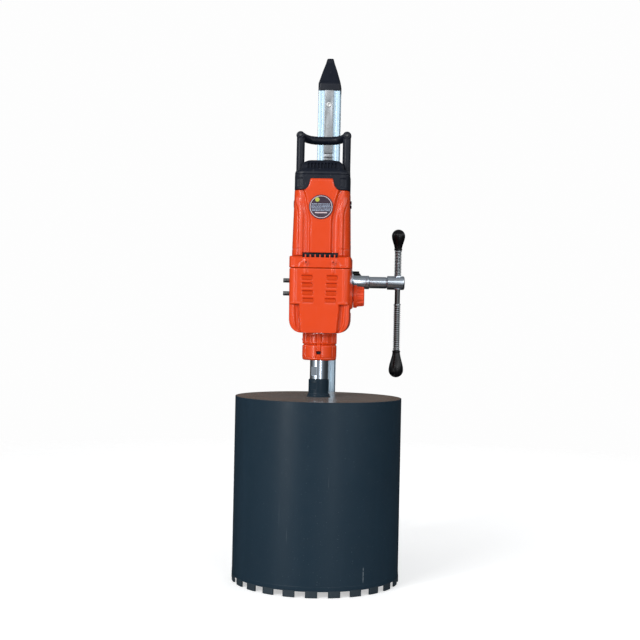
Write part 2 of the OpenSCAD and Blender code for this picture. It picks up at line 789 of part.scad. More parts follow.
// bearing ring with a groove between its races on both faces
module bearing(z0, z1, outer, shaft, y) difference() {
    ring(z0, z1, outer, shaft + fit, 0, y);
    for (z = [z0 - 1, z1 - 1]) ring(z, z + 2, shaft + (outer - shaft) * 0.7,
                                    shaft + (outer - shaft) * 0.35, 0, y);
}

module spindle_bearings() color("silver") {
    bearing(500 + eps, 514, 29.99, spindle_r, sp_y);
    bearing(web_z, web_z + 10, 20.99, 12, sp_y);
}

module idler_bearings() color("silver") {
    bearing(518 + eps, 527, 12.99, 6, idler_y);
    bearing(650, 660 - eps, 12.99, 6, idler_y);
}

module armature_bearings() color("silver") {
    bearing(651 + eps, 662, 15.99, 6, arm_y);
    bearing(803, 812, 13.99, 6, arm_y);
}

module shaft_seals() color("black") for (z = [464.02, 492.02])
    ring(z, z + 7.9, 26.98, spindle_r + fit, 0, sp_y);

// ---------------------------------------------------------------- shafts
module spindle() color("silver") difference() {
    union() {
        along_z(393, bit_hub_top + 0.03, 13.98, 0, sp_y);
        along_z(bit_hub_top + 0.02, 514.3, spindle_r, 0, sp_y);
        along_z(514, 587, 16, 0, sp_y);
        along_z(586, 600, 12, 0, sp_y);
    }
    // water way
    along_z(380, 490, 5, 0, sp_y);
    along_y(sp_y - 30, sp_y + 30, 3, 0, port_z);
    // spanner flats
    mirrored() block([17, 30], [sp_y - 30, sp_y + 30], [427, 445]);
}

module spindle_gear() color("gray") difference() {
    translate([0, sp_y, 550]) gear(idler_m, large_z, 20, 90);
    along_z(540, 580, 16 + eps, 0, sp_y);
    for (a = [0:60:300]) translate([0, sp_y, 0]) rotate([0, 0, a])
        along_z(540, 580, 5, 26, 0);
}

module idler_shaft() color("gray") {
    along_z(518.5, 659, 6, 0, idler_y);
    translate([0, idler_y, 546]) gear(idler_m, small_z, 28, 15);
    along_z(573.9, 611.9, 8, 0, idler_y);
}

module idler_gear() color("gray") difference() {
    translate([0, idler_y, 612]) gear(motor_m, large_z, 14, 270);
    along_z(600, 640, 6 + eps, 0, idler_y);
    for (a = [0:60:300]) translate([0, idler_y, 0]) rotate([0, 0, a])
        along_z(600, 640, 4, 16.5, 0);
}

module armature() color("peru") {
    along_z(604, 814, 6, 0, arm_y);
    translate([0, arm_y, 607]) gear(motor_m, small_z, 25, 75);
    along_z(700, 760, 30, 0, arm_y);
    for (z = [691, 760 - eps]) along_z(z, z + 9 + eps, 26, 0, arm_y);
    along_z(777, 797, 17, 0, arm_y);
    along_z(684.1, 778, 9, 0, arm_y);
}

module armature_fan() color("white") {
    difference() {
        union() {
            along_z(668, 684, 12, 0, arm_y);
            along_z(668, 671, 44, 0, arm_y);
        }
        along_z(660, 690, 6 + eps, 0, arm_y);
    }
    for (a = [0:40:320]) translate([0, arm_y, 0]) rotate([0, 0, a])
        block([11, 43], [-1, 1], [670, 682]);
}

module gear_selector() color("orangered") difference() {
    union() {
        along_x(52.5, 70, 8, sp_y, knob_z);
        along_x(69, 77, 24, sp_y, knob_z);
        along_x(76, 92, 21.5, sp_y, knob_z);
    }
    for (a = [0:30:330]) translate([0, sp_y, knob_z]) rotate([a, 0, 0])
        along_x(79, 93, 2.6, 22.4, 0);
}

switch_z = 770;
module power_switch() color("black") translate([0, motor_back - 1, switch_z]) {
    rotate([90, 0, 90]) linear_extrude(19.4, center = true)
        polygon([[-1, -16], [3, -16], [1.4, 0], [3, 16], [-1, 16]]);
    along_x(-9.7, 9.7, 3);
}

// ---------------------------------------------------------------- core bit
bit_r = bit_d / 2 - 0.4;
module bit_barrel() color("slategray") ring(seg_h, bit_h - 10, bit_r, bit_r - bit_wall,
                                            0, sp_y, $fn = 120);

module bit_head() color("slategray") difference() {
    translate([0, sp_y, 0]) rotate_extrude($fn = 120)
        polygon([[0, bit_h - 10 + eps], [bit_r, bit_h - 10 + eps], [bit_r, bit_h - 2],
                 [bit_r - 2, bit_h], [29, bit_h], [24, bit_h + 4], [23.5, bit_h + 13],
                 [22, bit_h + 14], [22, bit_hub_top - 1], [21, bit_hub_top],
                 [0, bit_hub_top]]);
    along_z(392, 430, 14, 0, sp_y);
    along_z(360, 400, 5, 0, sp_y);
    mirrored() block([20.5, 30], [sp_y - 40, sp_y + 40], [398, 412]);
}

module bit_segments() color("gray") for (k = [0:seg_n - 1])
    translate([0, sp_y, 0]) rotate([0, 0, seg_turn + k * 360 / seg_n])
        rotate_extrude(angle = 8, $fn = 120)
            translate([bit_r - bit_wall - 0.1, 0]) square([bit_wall + 0.5, seg_h - eps]);

// ---------------------------------------------------------------- assembly
base_plate();
column_bracket();
stand_bolts();
column();
rack();
rack_screws();
column_cap();
brace();
brace_lugs();
jam_nuts();
wheel_axle();
mirror([1, 0, 0]) wheel();  // wheel_left
wheel();  // wheel_right
level_screw(0);  // level_screw_fl
level_screw(1);  // level_screw_fr
level_screw(2);  // level_screw_rl
level_screw(3);  // level_screw_rr
carriage_body();
gib_pads();
gib_screws();
pinion_housing();
pinion_bushes();
mount_spacer();
spacer_bolts();
gear_case();
gear_cover();
motor_housing();
top_cap();
carry_handle();
neck_housing();
water_valve();
badge();
stator();
brush_holders();
brush_caps();
housing_screws();
cable_gland();
bubble_level();
spindle_bearings();
idler_bearings();
armature_bearings();
shaft_seals();
spindle();
spindle_gear();
bit_barrel();
bit_head();
bit_segments();
idler_shaft();
idler_gear();
armature();
armature_fan();
gear_selector();
power_switch();
valve_lever();
feed_shaft();
feed_hub();
sliding_bar();
bar_knobs();
bar_springs();
lock_lever();
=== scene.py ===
"""The looks of the core drill rig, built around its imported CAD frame.

Lengths are millimetres in the CAD model's frame, and pieces are scaled to metres as they are made.
"""
import json
import math

import bmesh
import bpy
import numpy as np
from mathutils import Matrix, Vector

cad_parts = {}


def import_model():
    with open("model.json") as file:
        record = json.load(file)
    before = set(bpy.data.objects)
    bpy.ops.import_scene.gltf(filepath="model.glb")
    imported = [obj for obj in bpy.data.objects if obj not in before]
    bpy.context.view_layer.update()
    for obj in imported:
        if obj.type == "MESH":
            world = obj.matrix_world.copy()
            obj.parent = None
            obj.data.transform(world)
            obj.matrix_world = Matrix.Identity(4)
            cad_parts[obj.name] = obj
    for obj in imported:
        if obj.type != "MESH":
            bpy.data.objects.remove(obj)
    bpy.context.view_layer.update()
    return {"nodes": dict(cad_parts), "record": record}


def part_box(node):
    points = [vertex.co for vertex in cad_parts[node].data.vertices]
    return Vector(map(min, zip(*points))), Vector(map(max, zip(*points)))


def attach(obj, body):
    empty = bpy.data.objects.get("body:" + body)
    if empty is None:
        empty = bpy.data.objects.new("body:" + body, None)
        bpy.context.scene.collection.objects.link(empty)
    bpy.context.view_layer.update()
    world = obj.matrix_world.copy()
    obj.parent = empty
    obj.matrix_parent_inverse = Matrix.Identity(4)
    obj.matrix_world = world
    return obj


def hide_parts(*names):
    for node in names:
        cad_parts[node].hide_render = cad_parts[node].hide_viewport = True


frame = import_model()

MM = 0.001
BODY = {n: b for b, ns in frame["record"]["behaviour"]["bodies"].items() for n in ns}
SLOT = {s["node"]: s["material_slot"] for s in frame["record"]["subparts"]}


def box(node):
    """A CAD node's corners in millimetres."""
    low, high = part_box(node)
    return np.array(low) * 1000, np.array(high) * 1000


def middle(node):
    low, high = box(node)
    return (low + high) / 2


# --------------- camera
THROW = -middle("spindle")[1]              # spindle axis, in front of the column
CAM_AZ = math.radians(3.0)
CAM_DIST = 2389.0
CAM_HEIGHT = 543.0
CAM_ROLL = math.radians(1.18)
FOCAL = 1.775                              # focal length in frame widths

cam_data = bpy.data.cameras.new("camera")
cam = bpy.data.objects.new("camera", cam_data)
bpy.context.scene.collection.objects.link(cam)
cam_data.sensor_width = 36.0
cam_data.lens = cam_data.sensor_width * FOCAL
eye = Vector((CAM_DIST * math.sin(CAM_AZ), -THROW - CAM_DIST * math.cos(CAM_AZ), CAM_HEIGHT))
turn = Matrix.Rotation(CAM_AZ, 4, "Z") @ Matrix.Rotation(math.pi / 2, 4, "X")
cam.matrix_world = Matrix.Translation(eye * MM) @ turn @ Matrix.Rotation(CAM_ROLL, 4, "Z")
bpy.context.scene.camera = cam
bpy.context.scene.view_settings.view_transform = "Standard"


# --------------- materials
class Nodes:
    """A short way to write the node tree of a material or a world."""

    def __init__(self, owner, space="Object"):
        owner.use_nodes = True
        self.owner = owner
        self.tree = owner.node_tree
        self.bsdf = self.tree.nodes.get("Principled BSDF")
        self.coord = self.new("TexCoord").outputs[space]

    def new(self, kind, **inputs):
        n = self.tree.nodes.new("ShaderNode" + kind)
        for k, v in inputs.items():
            self.put(n, k, v)
        return n

    def put(self, n, key, value):
        key = key.replace("_", " ")
        sock = n.inputs[int(key[1:])] if key[0] == "i" and key[1:].isdigit() else n.inputs[key]
        if isinstance(value, bpy.types.NodeSocket):
            self.tree.links.new(value, sock)
        else:
            sock.default_value = value

    def scaled(self, sx, sy, sz):
        m = self.new("Mapping", Vector=self.coord)
        m.inputs["Scale"].default_value = (sx, sy, sz)
        return m.outputs[0]

    def noise(self, scale, detail=3.0, stretch=(1, 1, 1), rough=0.55):
        return self.new("TexNoise", Vector=self.scaled(*stretch), Scale=scale, Detail=detail,
                        Roughness=rough).outputs["Fac"]

    def ramp(self, fac, low, high, a=0.0, b=1.0):
        n = self.new("MapRange", Value=fac)
        for i, v in ((1, low), (2, high), (3, a), (4, b)):
            n.inputs[i].default_value = v
        return n.outputs[0]

    def math(self, op, a, b):
        n = self.tree.nodes.new("ShaderNodeMath")
        n.operation = op
        self.put(n, "i0", a)
        self.put(n, "i1", b)
        return n.outputs[0]

    def times(self, a, b):
        return self.math("MULTIPLY", a, b)

    def mix(self, fac, a, b):
        n = self.tree.nodes.new("ShaderNodeMix")
        n.data_type = "RGBA"
        self.put(n, "i0", fac)
        for i, c in ((6, a), (7, b)):
            self.put(n, f"i{i}", c if isinstance(c, bpy.types.NodeSocket) else (*c[:3], 1))
        return n.outputs[2]

    def edges(self, low=0.52, high=0.62):
        """White along convex edges."""
        g = self.tree.nodes.new("ShaderNodeNewGeometry").outputs["Pointiness"]
        return self.ramp(g, low, high)

    def bump(self, height, strength, distance, normal=None):
        n = self.new("Bump", Height=height)
        n.inputs["Strength"].default_value = strength
        n.inputs["Distance"].default_value = distance
        if normal is not None:
            self.put(n, "Normal", normal)
        return n.outputs[0]

    def set(self, **values):
        for k, v in values.items():
            self.put(self.bsdf, k, (*v, 1) if isinstance(v, tuple) and len(v) == 3 else v)
        return self.owner


def material(name):
    return Nodes(bpy.data.materials.new(name))


def shade(color, factor, lift=0.0):
    return tuple(min(1, c * factor + lift) for c in color)


def paint(name, color, rough, coat=0.0, peel=0.12, worn=(0.5, 0.5, 0.5), wear=0.35, dirt=0.12,
          cloud=18, specular=0.5, coat_rough=0.08, hollow=0.5):
    """Sprayed or moulded surface: clouding, faint orange peel, scuffs, worn edges, and painted shade that
    darkens the hollows and creases.
    """
    m = material(name)
    base = m.mix(m.noise(cloud, 5), shade(color, 1 - dirt), shade(color, 1 + dirt * 0.6))
    scuffs = m.ramp(m.noise(140, 6, (1, 1, 0.35), 0.7), 0.62, 0.72)
    base = m.mix(m.times(scuffs, dirt * 1.2), base, shade(color, 0.6, 0.18))
    chips = m.ramp(m.noise(260, 4), 0.45, 0.6)
    mask = m.times(m.times(m.edges(0.55, 0.66), chips), wear)
    base = m.mix(mask, base, worn)
    # painted shade: the colour darkens in concave hollows and creases, as strongly as hollow says
    base = m.mix(m.times(m.edges(0.485, 0.42), hollow), base, shade(color, 0.30))
    r = m.ramp(m.noise(55, 4), 0.3, 0.7, rough * 0.82, min(1, rough * 1.2))
    n = m.bump(m.noise(420, 2), peel, 0.0002)
    return m.set(Base_Color=base, Roughness=r, Coat_Weight=coat, Coat_Roughness=coat_rough,
                 Specular_IOR_Level=specular, Normal=n)


def metal(name, color, rough, stretch, grain, depth, stain, rust=None):
    """Machined or drawn metal: directional grain, stains and brighter edges."""
    m = material(name)
    grainy = m.noise(grain, 3, stretch, 0.6)
    base = m.mix(m.noise(22, 5), shade(color, 1 - stain), color)
    base = m.mix(m.times(grainy, 0.25), base, shade(color, 0.7))
    if rust:
        base = m.mix(m.times(m.ramp(m.noise(35, 7, rough=0.75), 0.56, 0.7), 0.5), base, rust)
    base = m.mix(m.times(m.edges(), 0.25), base, shade(color, 1.25))
    r = m.ramp(m.noise(70, 4, stretch), 0.25, 0.75, rough * 0.75, min(1, rough * 1.35))
    return m.set(Base_Color=base, Roughness=r, Metallic=1.0, Normal=m.bump(grainy, depth, 0.0001))


PAINTS = {                                 # colour, roughness and the rest of paint()'s numbers
    "orange_paint": ((0.66, 0.049, 0.002), 0.36, dict(
        coat=0.5, peel=0.05, dirt=0.06, worn=(0.9, 0.30, 0.16), wear=0.08, specular=0.25, coat_rough=0.10,
        # hollow: strength of the painted shade in the creases
        hollow=0.9)),
    "orange_knob": ((0.72, 0.055, 0.007), 0.36, dict(
        coat=0.15, peel=0.05, dirt=0.10, worn=(0.9, 0.32, 0.18), wear=0.25, specular=0.35)),
    "black_plastic": ((0.0045, 0.007, 0.015), 0.42, dict(
        peel=0.30, dirt=0.25, worn=(0.05, 0.05, 0.06), wear=0.25, cloud=40, specular=0.25)),
    "grip_rubber": ((0.0035, 0.0035, 0.0045), 0.28, dict(
        peel=0.08, dirt=0.3, worn=(0.03, 0.03, 0.03), wear=0.3, coat=0.05, specular=0.22)),
    "wheel_rubber": ((0.022, 0.022, 0.022), 0.75, dict(
        peel=0.5, dirt=0.4, worn=(0.10, 0.095, 0.09), wear=0.7, cloud=30)),
    "rim_plastic": ((0.17, 0.175, 0.18), 0.45, dict(peel=0.2, dirt=0.3, worn=(0.4, 0.4, 0.4), wear=0.4)),
    "steel_plate": ((0.050, 0.053, 0.058), 0.5, dict(
        peel=0.35, dirt=0.3, worn=(0.30, 0.30, 0.30), wear=0.45, cloud=12)),
    "carriage_metal": ((0.030, 0.031, 0.034), 0.45, dict(
        peel=0.25, dirt=0.3, worn=(0.26, 0.26, 0.26), wear=0.28, cloud=15)),
    "fan_plastic": ((0.65, 0.64, 0.60), 0.5, dict()),
    "badge_print": ((0.032, 0.014, 0.030), 0.30, dict(coat=0.3, peel=0.05, dirt=0.2, wear=0.1)),
    "badge_ring": ((0.60, 0.47, 0.50), 0.35, dict(peel=0.05, dirt=0.12, wear=0.1)),
    "badge_dot": ((0.42, 0.45, 0.05), 0.35, dict(peel=0.05, dirt=0.15, wear=0.1)),
    "badge_bars": ((0.38, 0.46, 0.60), 0.4, dict(peel=0.05, dirt=0.2, wear=0.1)),
}
METALS = {                                 # colour, roughness, grain's stretch, its scale, its depth, stain
    "aluminium_profile": ((0.52, 0.68, 0.80), 0.42, (1, 1, 0.02), 900, 0.10, 0.10),
    "rack_steel": ((0.36, 0.38, 0.40), 0.38, (1, 1, 0.05), 700, 0.15, 0.35, (0.10, 0.07, 0.05)),
    "zinc_steel": ((0.62, 0.63, 0.63), 0.34, (1, 1, 1), 300, 0.12, 0.35),
    "bright_steel": ((0.70, 0.77, 0.86), 0.30, (0.05, 1, 1), 900, 0.08, 0.12),
    "spring_steel": ((0.62, 0.67, 0.71), 0.30, (1, 1, 1), 400, 0.06, 0.20),
    "bar_steel": ((0.12, 0.125, 0.13), 0.42, (1, 1, 0.05), 600, 0.10, 0.3),
    "spindle_steel": ((0.76, 0.86, 0.98), 0.10, (1, 1, 8), 300, 0.03, 0.10),
    "bronze": ((0.60, 0.42, 0.18), 0.35, (1, 1, 1), 300, 0.10, 0.25),
    "lamination": ((0.25, 0.26, 0.28), 0.45, (1, 1, 30), 200, 0.4, 0.2),
    "copper_core": ((0.65, 0.30, 0.14), 0.4, (1, 1, 30), 200, 0.4, 0.3),
}
MAT = {name: paint(name, color, rough, **more) for name, (color, rough, more) in PAINTS.items()}
MAT |= {name: metal(name, *look) for name, look in METALS.items()}

SCRATCH = (0.103, 0.042)                 # x and z of a mark near the rim


def bit_paint(name, color, rough, specular):
    """Worn satin paint on the rolled tube, with a faint sheen of handling marks."""
    m = material(name)
    base = m.mix(m.noise(6, 6), shade(color, 0.86), shade(color, 1.10))
    streak = m.ramp(m.noise(24, 5, (1, 1, 0.08), 0.65), 0.52, 0.74)
    base = m.mix(m.times(streak, 0.18), base, shade(color, 1.5, 0.004))
    specks = m.ramp(m.noise(420, 2), 0.70, 0.76)
    base = m.mix(m.times(specks, 0.5), base, (0.10, 0.13, 0.15))
    scratches = m.ramp(m.noise(90, 3, (1, 1, 0.03), 0.8), 0.70, 0.74)
    base = m.mix(m.times(scratches, 0.35), base, (0.12, 0.14, 0.15))
    base = m.mix(m.times(m.edges(0.53, 0.6), 0.5), base, (0.14, 0.16, 0.17))
    # one long scratch near the rim, on the front only
    at = m.new("SeparateXYZ", Vector=m.coord).outputs
    off = m.math("ABSOLUTE", m.math("SUBTRACT", at[0], SCRATCH[0]), 0.0)
    along = m.math("ABSOLUTE", m.math("SUBTRACT", at[2], SCRATCH[1]), 0.0)
    scar = m.times(m.ramp(off, 0.0003, 0.0012, 1.0, 0.0), m.ramp(along, 0.010, 0.019, 1.0, 0.0))
    scar = m.times(scar, m.ramp(m.noise(160, 4), 0.42, 0.52))
    base = m.mix(m.times(scar, m.ramp(at[1], -0.26, -0.25, 0.5, 0.0)), base, (0.20, 0.24, 0.27))
    r = m.ramp(m.noise(30, 5), 0.3, 0.7, rough * 0.85, rough * 1.15)
    n = m.bump(m.noise(300, 3), 0.10, 0.0003)
    n = m.bump(m.noise(5, 2), 0.10, 0.003, n)
    return m.set(Base_Color=base, Roughness=r, Specular_IOR_Level=specular, Normal=n)


def segment_metal():
    m = material("segment_metal")
    grit = m.new("TexVoronoi", Vector=m.coord, Scale=900.0).outputs["Distance"]
    base = m.mix(m.noise(60, 5), (0.009, 0.020, 0.031), (0.020, 0.034, 0.045))
    base = m.mix(m.ramp(grit, 0.0, 0.25, 0.22, 0.0), base, (0.14, 0.15, 0.15))
    return m.set(Base_Color=base, Roughness=0.6, Metallic=0.2,
                 Normal=m.bump(grit, 0.5, 0.0004))


def level_amber():
    m = material("level_amber")
    base = m.mix(m.noise(40, 3), (0.55, 0.47, 0.05), (0.75, 0.66, 0.12))
    return m.set(Base_Color=base, Roughness=0.12, Coat_Weight=0.6,
                 Normal=m.bump(m.noise(200, 2), 0.05, 0.0002))


THREAD_PITCH = 1.25


def screw_thread():
    """Darkened steel with thread rings along X."""
    m = material("screw_thread")
    wave = m.new("TexWave", Vector=m.coord, Scale=math.pi / (10 * THREAD_PITCH * MM))
    rings = m.ramp(wave.outputs["Fac"], 0.3, 0.7)
    base = m.mix(rings, (0.03, 0.03, 0.032), (0.24, 0.25, 0.26))
    base = m.mix(m.times(m.noise(120, 4), 0.5), base, (0.12, 0.11, 0.10))
    return m.set(Base_Color=base, Roughness=0.4, Metallic=0.9, Normal=m.bump(rings, 0.6, 0.0004))


MAT |= {
    "screw_thread": screw_thread(),
    "bit_paint": bit_paint("bit_paint", (0.0097, 0.0222, 0.0352), 0.36, 0.14),
    # painted reflection: the top face's brown stands in for a warm surround reflected at a grazing angle
    "bit_top_painted_reflection": bit_paint("bit_top_painted_reflection", (0.27, 0.17, 0.115), 0.22, 0.5),
    "segment_metal": segment_metal(),
    "level_amber": level_amber(),
}


# --------------- mesh tools
def finish_piece(name, me, body, slot, mat=None, replaces=(), smooth=32, mats=None, face_mats=None):
    """Gives a mesh its looks (its slot's material, unless another is named) and its body; smooth is the
    sharpest angle shaded smooth.
    """
    for mm in (mats or [MAT[mat or slot]]):
        me.materials.append(mm)
    if mats:
        me.polygons.foreach_set("material_index", face_mats)
    me.validate()
    bm = bmesh.new()
    bm.from_mesh(me)
    bmesh.ops.recalc_face_normals(bm, faces=bm.faces)
    bm.to_mesh(me)
    bm.free()
    me.update()
    me.shade_smooth()
    me.set_sharp_from_angle(angle=math.radians(smooth))
    ob = bpy.data.objects.new(name, me)
    bpy.context.scene.collection.objects.link(ob)
    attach(ob, body)
    if replaces:
        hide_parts(*replaces)
    return ob


def add_bevel(ob, segments):
    b = ob.modifiers.new("bevel", "BEVEL")
    b.width = 0.5 * MM
    b.segments = segments
    b.limit_method = "ANGLE"
    b.angle_limit = math.radians(30)
    b.harden_normals = True
    b.use_clamp_overlap = True


class Soup:
    """Vertices and faces gathered from several shapes into one piece."""

    def __init__(self):
        self.v, self.f, self.m = [], [], []

    def add(self, verts, faces, xform=None, mat=0):
        verts = np.asarray(verts, float)
        if xform is not None:
            verts = xform(verts)
        k = len(self.v)
        self.v.extend(map(tuple, verts))
        self.f.extend([tuple(i + k for i in f) for f in faces])
        self.m.extend([mat] * len(faces))
        return self

    def build(self, name, body, slot, mat=None, replaces=(), smooth=32, mats=None):
        """A piece from vertices in millimetres, riding on a body."""
        me = bpy.data.meshes.new(name)
        me.from_pydata([tuple(v) for v in np.asarray(self.v, float) * MM], [], self.f)
        return finish_piece(name, me, body, slot, mat, replaces, smooth, mats, self.m)

    def cover(self, node, smooth=32, mat=None, mats=None):
        """The piece that stands for a CAD node."""
        return self.build("v_" + node, BODY[node], SLOT[node], mat, (node,), smooth, mats)


def fillet(points, radius, steps=4):
    """Rounds the corners of an open polyline. radius: one value or one for each point."""
    pts = [np.array(p, float) for p in points]
    rad = radius if isinstance(radius, (list, tuple)) else [radius] * len(pts)
    out = [pts[0]]
    for i in range(1, len(pts) - 1):
        a, p, b = pts[i - 1], pts[i], pts[i + 1]
        u, w = a - p, b - p
        lu, lw = np.linalg.norm(u), np.linalg.norm(w)
        if rad[i] <= 0 or lu < 1e-6 or lw < 1e-6:
            out.append(p)
            continue
        cosang = np.clip(np.dot(u, w) / lu / lw, -1, 1)
        half = math.acos(cosang) / 2
        cut = min(rad[i] / max(math.tan(half), 1e-6), lu * 0.49, lw * 0.49)
        s, e = p + u / lu * cut, p + w / lw * cut
        for k in range(steps + 1):
            t = k / steps
            out.append((1 - t) ** 2 * s + 2 * t * (1 - t) * p + t * t * e)
    out.append(pts[-1])
    return out


def spin(profile, n=96):
    """Surface of revolution about Z. profile: (radius, height) pairs that end on the axis or make a loop."""
    profile = [(float(r), float(z)) for r, z in profile]
    if math.dist(profile[0], profile[-1]) < 1e-6:
        profile = profile[:-1]
    verts, rows = [], []
    for r, z in profile:
        if r < 1e-6:
            rows.append([len(verts)])
            verts.append((0, 0, z))
        else:
            rows.append(list(range(len(verts), len(verts) + n)))
            verts.extend((r * math.cos(2 * math.pi * k / n), r * math.sin(2 * math.pi * k / n), z)
                         for k in range(n))
    faces = []
    for a, b in zip(rows, rows[1:]):
        for k in range(n):
            j = (k + 1) % n
            if len(a) == 1 and len(b) > 1:
                faces.append((a[0], b[j], b[k]))
            elif len(b) == 1 and len(a) > 1:
                faces.append((a[k], a[j], b[0]))
            elif len(a) > 1:
                faces.append((a[k], a[j], b[j], b[k]))
    if len(rows[0]) > 1 and len(rows[-1]) > 1:
        a, b = rows[-1], rows[0]
        faces.extend((a[k], a[(k + 1) % n], b[(k + 1) % n], b[k]) for k in range(n))
    return np.array(verts), faces


def place(at, axis="z"):
    """Moves a shape made about Z so that its axis lies along x, y or z through a point."""
    at = np.array(at, float)

    def run(v):
        v = np.asarray(v, float)
        if axis == "x":
            v = v[:, [2, 0, 1]]
        elif axis == "-x":
            v = v[:, [2, 1, 0]] * (-1, 1, 1)
        elif axis == "y":
            v = v[:, [1, 2, 0]]
        elif axis == "-y":
            v = v[:, [0, 2, 1]] * (1, -1, 1)
        return v + at
    return run


def loft(rings):
    """Closed skin over a stack of rings with as many points each."""
    rings = np.asarray(rings, float)
    rows, n = rings.shape[:2]
    idx = np.arange(rows * n).reshape(rows, n)
    a, b = idx[:-1], idx[1:]
    quads = np.stack([a, np.roll(a, -1, 1), np.roll(b, -1, 1), b], -1).reshape(-1, 4)
    faces = [tuple(q) for q in quads.tolist()]
    faces += [tuple(idx[0][::-1].tolist()), tuple(idx[-1].tolist())]
    return rings.reshape(-1, 3), faces


def prism(outline, z0, z1):
    """Straight extrusion of a closed outline along Z."""
    return loft([[(p[0], p[1], z) for p in outline] for z in (z0, z1)])


def block(low, high):
    (a, b, c), (d, e, f) = low, high
    return prism([(a, b), (d, b), (d, e), (a, e)], c, f)


def rounded(w, d, r, steps=6, cx=0.0, cy=0.0):
    """Closed outline of a rounded rectangle."""
    pts = []
    for sx, sy, a0 in ((1, 1, 0), (-1, 1, 90), (-1, -1, 180), (1, -1, 270)):
        for k in range(steps + 1):
            a = math.radians(a0 + 90 * k / steps)
            pts.append((cx + sx * (w / 2 - r) + r * math.cos(a), cy + sy * (d / 2 - r) + r * math.sin(a)))
    return pts


def tube(path, radius, n):
    """Round bar along a path of points; radius may vary along it."""
    path = [np.array(p, float) for p in path]
    rad = np.broadcast_to(radius, len(path))
    rings, side = [], None
    for i, p in enumerate(path):
        t = path[min(i + 1, len(path) - 1)] - path[max(i - 1, 0)]
        t = t / np.linalg.norm(t)
        if side is None:
            side = np.cross(t, (0, 0, 1) if abs(t[2]) < 0.9 else (1, 0, 0))
        side = side - t * np.dot(side, t)
        side = side / np.linalg.norm(side)
        up = np.cross(t, side)
        rings.append([p + rad[i] * (side * math.cos(a) + up * math.sin(a))
                      for a in (2 * math.pi * k / n for k in range(n))])
    verts, faces = loft(rings)
    return verts, [q[1:] + q[:1] for q in faces]        # split along the other diagonal


WIDE_FACE = 300e-6                       # square metres


def refine(node, bevel, mat=None):
    """A CAD node's own shape, with its edges broken as on the real part."""
    bm = bmesh.new()
    bm.from_mesh(frame["nodes"][node].data)
    bmesh.ops.remove_doubles(bm, verts=bm.verts, dist=1e-5)
    bmesh.ops.dissolve_limit(bm, angle_limit=math.radians(0.6), verts=bm.verts, edges=bm.edges)
    if bevel:
        sharp = [e for e in bm.edges if len(e.link_faces) == 2
                 and e.calc_face_angle(0) > math.radians(28)]
        bmesh.ops.bevel(bm, geom=sharp, offset=bevel * MM, segments=2, profile=0.6,
                        affect="EDGES", clamp_overlap=True)
    # a narrow border round each wide face keeps the edge wear at its edges
    wide = [f for f in bm.faces
            if f.calc_area() > WIDE_FACE and min(e.calc_length() for e in f.edges) > 5 * MM]
    if bevel and wide:
        bmesh.ops.inset_individual(bm, faces=wide, thickness=1.6 * MM, use_even_offset=True)
    bmesh.ops.triangulate(bm, faces=[f for f in bm.faces if len(f.verts) > 12])
    me = bpy.data.meshes.new("v_" + node)
    bm.to_mesh(me)
    bm.free()
    return finish_piece("v_" + node, me, BODY[node], SLOT[node], mat, (node,), 34)


# --------------- castings
def smooth(x, a, b):
    """0 below a, 1 above b, smooth between; a may be the larger."""
    t = np.clip((x - a) / (b - a), 0, 1)
    return t * t * (3 - 2 * t)


def hump(v, at, width):
    """1 at a place, falling to 0 on both sides."""
    return np.exp(-((v - at) / width) ** 2)


def patch(x, z, cx, cz, hw, hh, r, soft):
    """1 inside a rounded rectangle on a face, falling to 0 over a soft edge."""
    qx, qz = np.abs(x - cx) - (hw - r), np.abs(z - cz) - (hh - r)
    d = np.hypot(np.maximum(qx, 0), np.maximum(qz, 0)) + np.minimum(np.maximum(qx, qz), 0) - r
    return 1 - smooth(d, -soft / 2, soft / 2)


def spaced(low, high, step, marks=()):
    """Grid lines about a step apart, with pairs of close lines at each mark."""
    lines = set(np.round(np.linspace(low, high, max(2, int((high - low) / step) + 1)), 3))
    for mk in marks:
        lines = {v for v in lines if abs(v - mk) > 0.45 or v in (low, high)}
        lines |= {round(mk - 0.3, 3), round(mk + 0.3, 3)}
    return np.array(sorted(v for v in lines if low <= v <= high))


CORNER_POWER = 2.3                       # 2 is a round corner, more is squarer


def outline(hw, front, back, r_front, r_back, xs):
    """Plan loop of a casting: along the front from -X to +X at the given x lines, then up the right side,
    back across the rear and down the left."""
    def corner_y(x, r):
        over = np.maximum(np.abs(x) - (hw - r), 0) / r
        return r * (1 - np.maximum(1 - over ** CORNER_POWER, 0) ** (1 / CORNER_POWER))
    fx = xs * hw
    fy = front + corner_y(fx, r_front)
    ys = np.linspace(front + r_front, back - r_back, 34)[1:]
    rx = np.linspace(1, -1, 40) * hw
    bx = np.sign(rx) * hw * np.abs(rx / hw) ** 0.9
    by = back - corner_y(bx, r_back)
    x = np.concatenate([fx, np.full(len(ys) - 1, hw), bx, np.full(len(ys) - 1, -hw)])
    y = np.concatenate([fy, ys[:-1], by, ys[:-1][::-1]])
    return x, y


def casting(rows, outline_at, relief, xs, lip):
    """Stacks plan loops into a closed shell. outline_at(z) gives the loop's numbers, relief(x, y, z, n)
    the offset outwards in millimetres at points whose outward plan normals are n."""
    loops = []
    for z in rows:
        x, y = outline(*outline_at(z), xs)
        loops.append(np.stack([x, y, np.full_like(x, z)], 1))
    g = np.array(loops)
    nxt, prv = np.roll(g, -1, 1), np.roll(g, 1, 1)
    t = nxt - prv
    n = np.stack([t[..., 1], -t[..., 0]], -1)
    n /= np.linalg.norm(n, axis=-1, keepdims=True) + 1e-9
    off = relief(g[..., 0], g[..., 1], g[..., 2], n)
    # rounded top and bottom rims
    for dist in (rows[-1] - g[..., 2], g[..., 2] - rows[0]):
        k = np.clip(dist / lip, 0, 1)
        off = off - lip * (1 - np.sqrt(np.maximum(1 - (1 - k) ** 2, 0)))
    g[..., :2] += n * off[..., None]
    return loft(g)


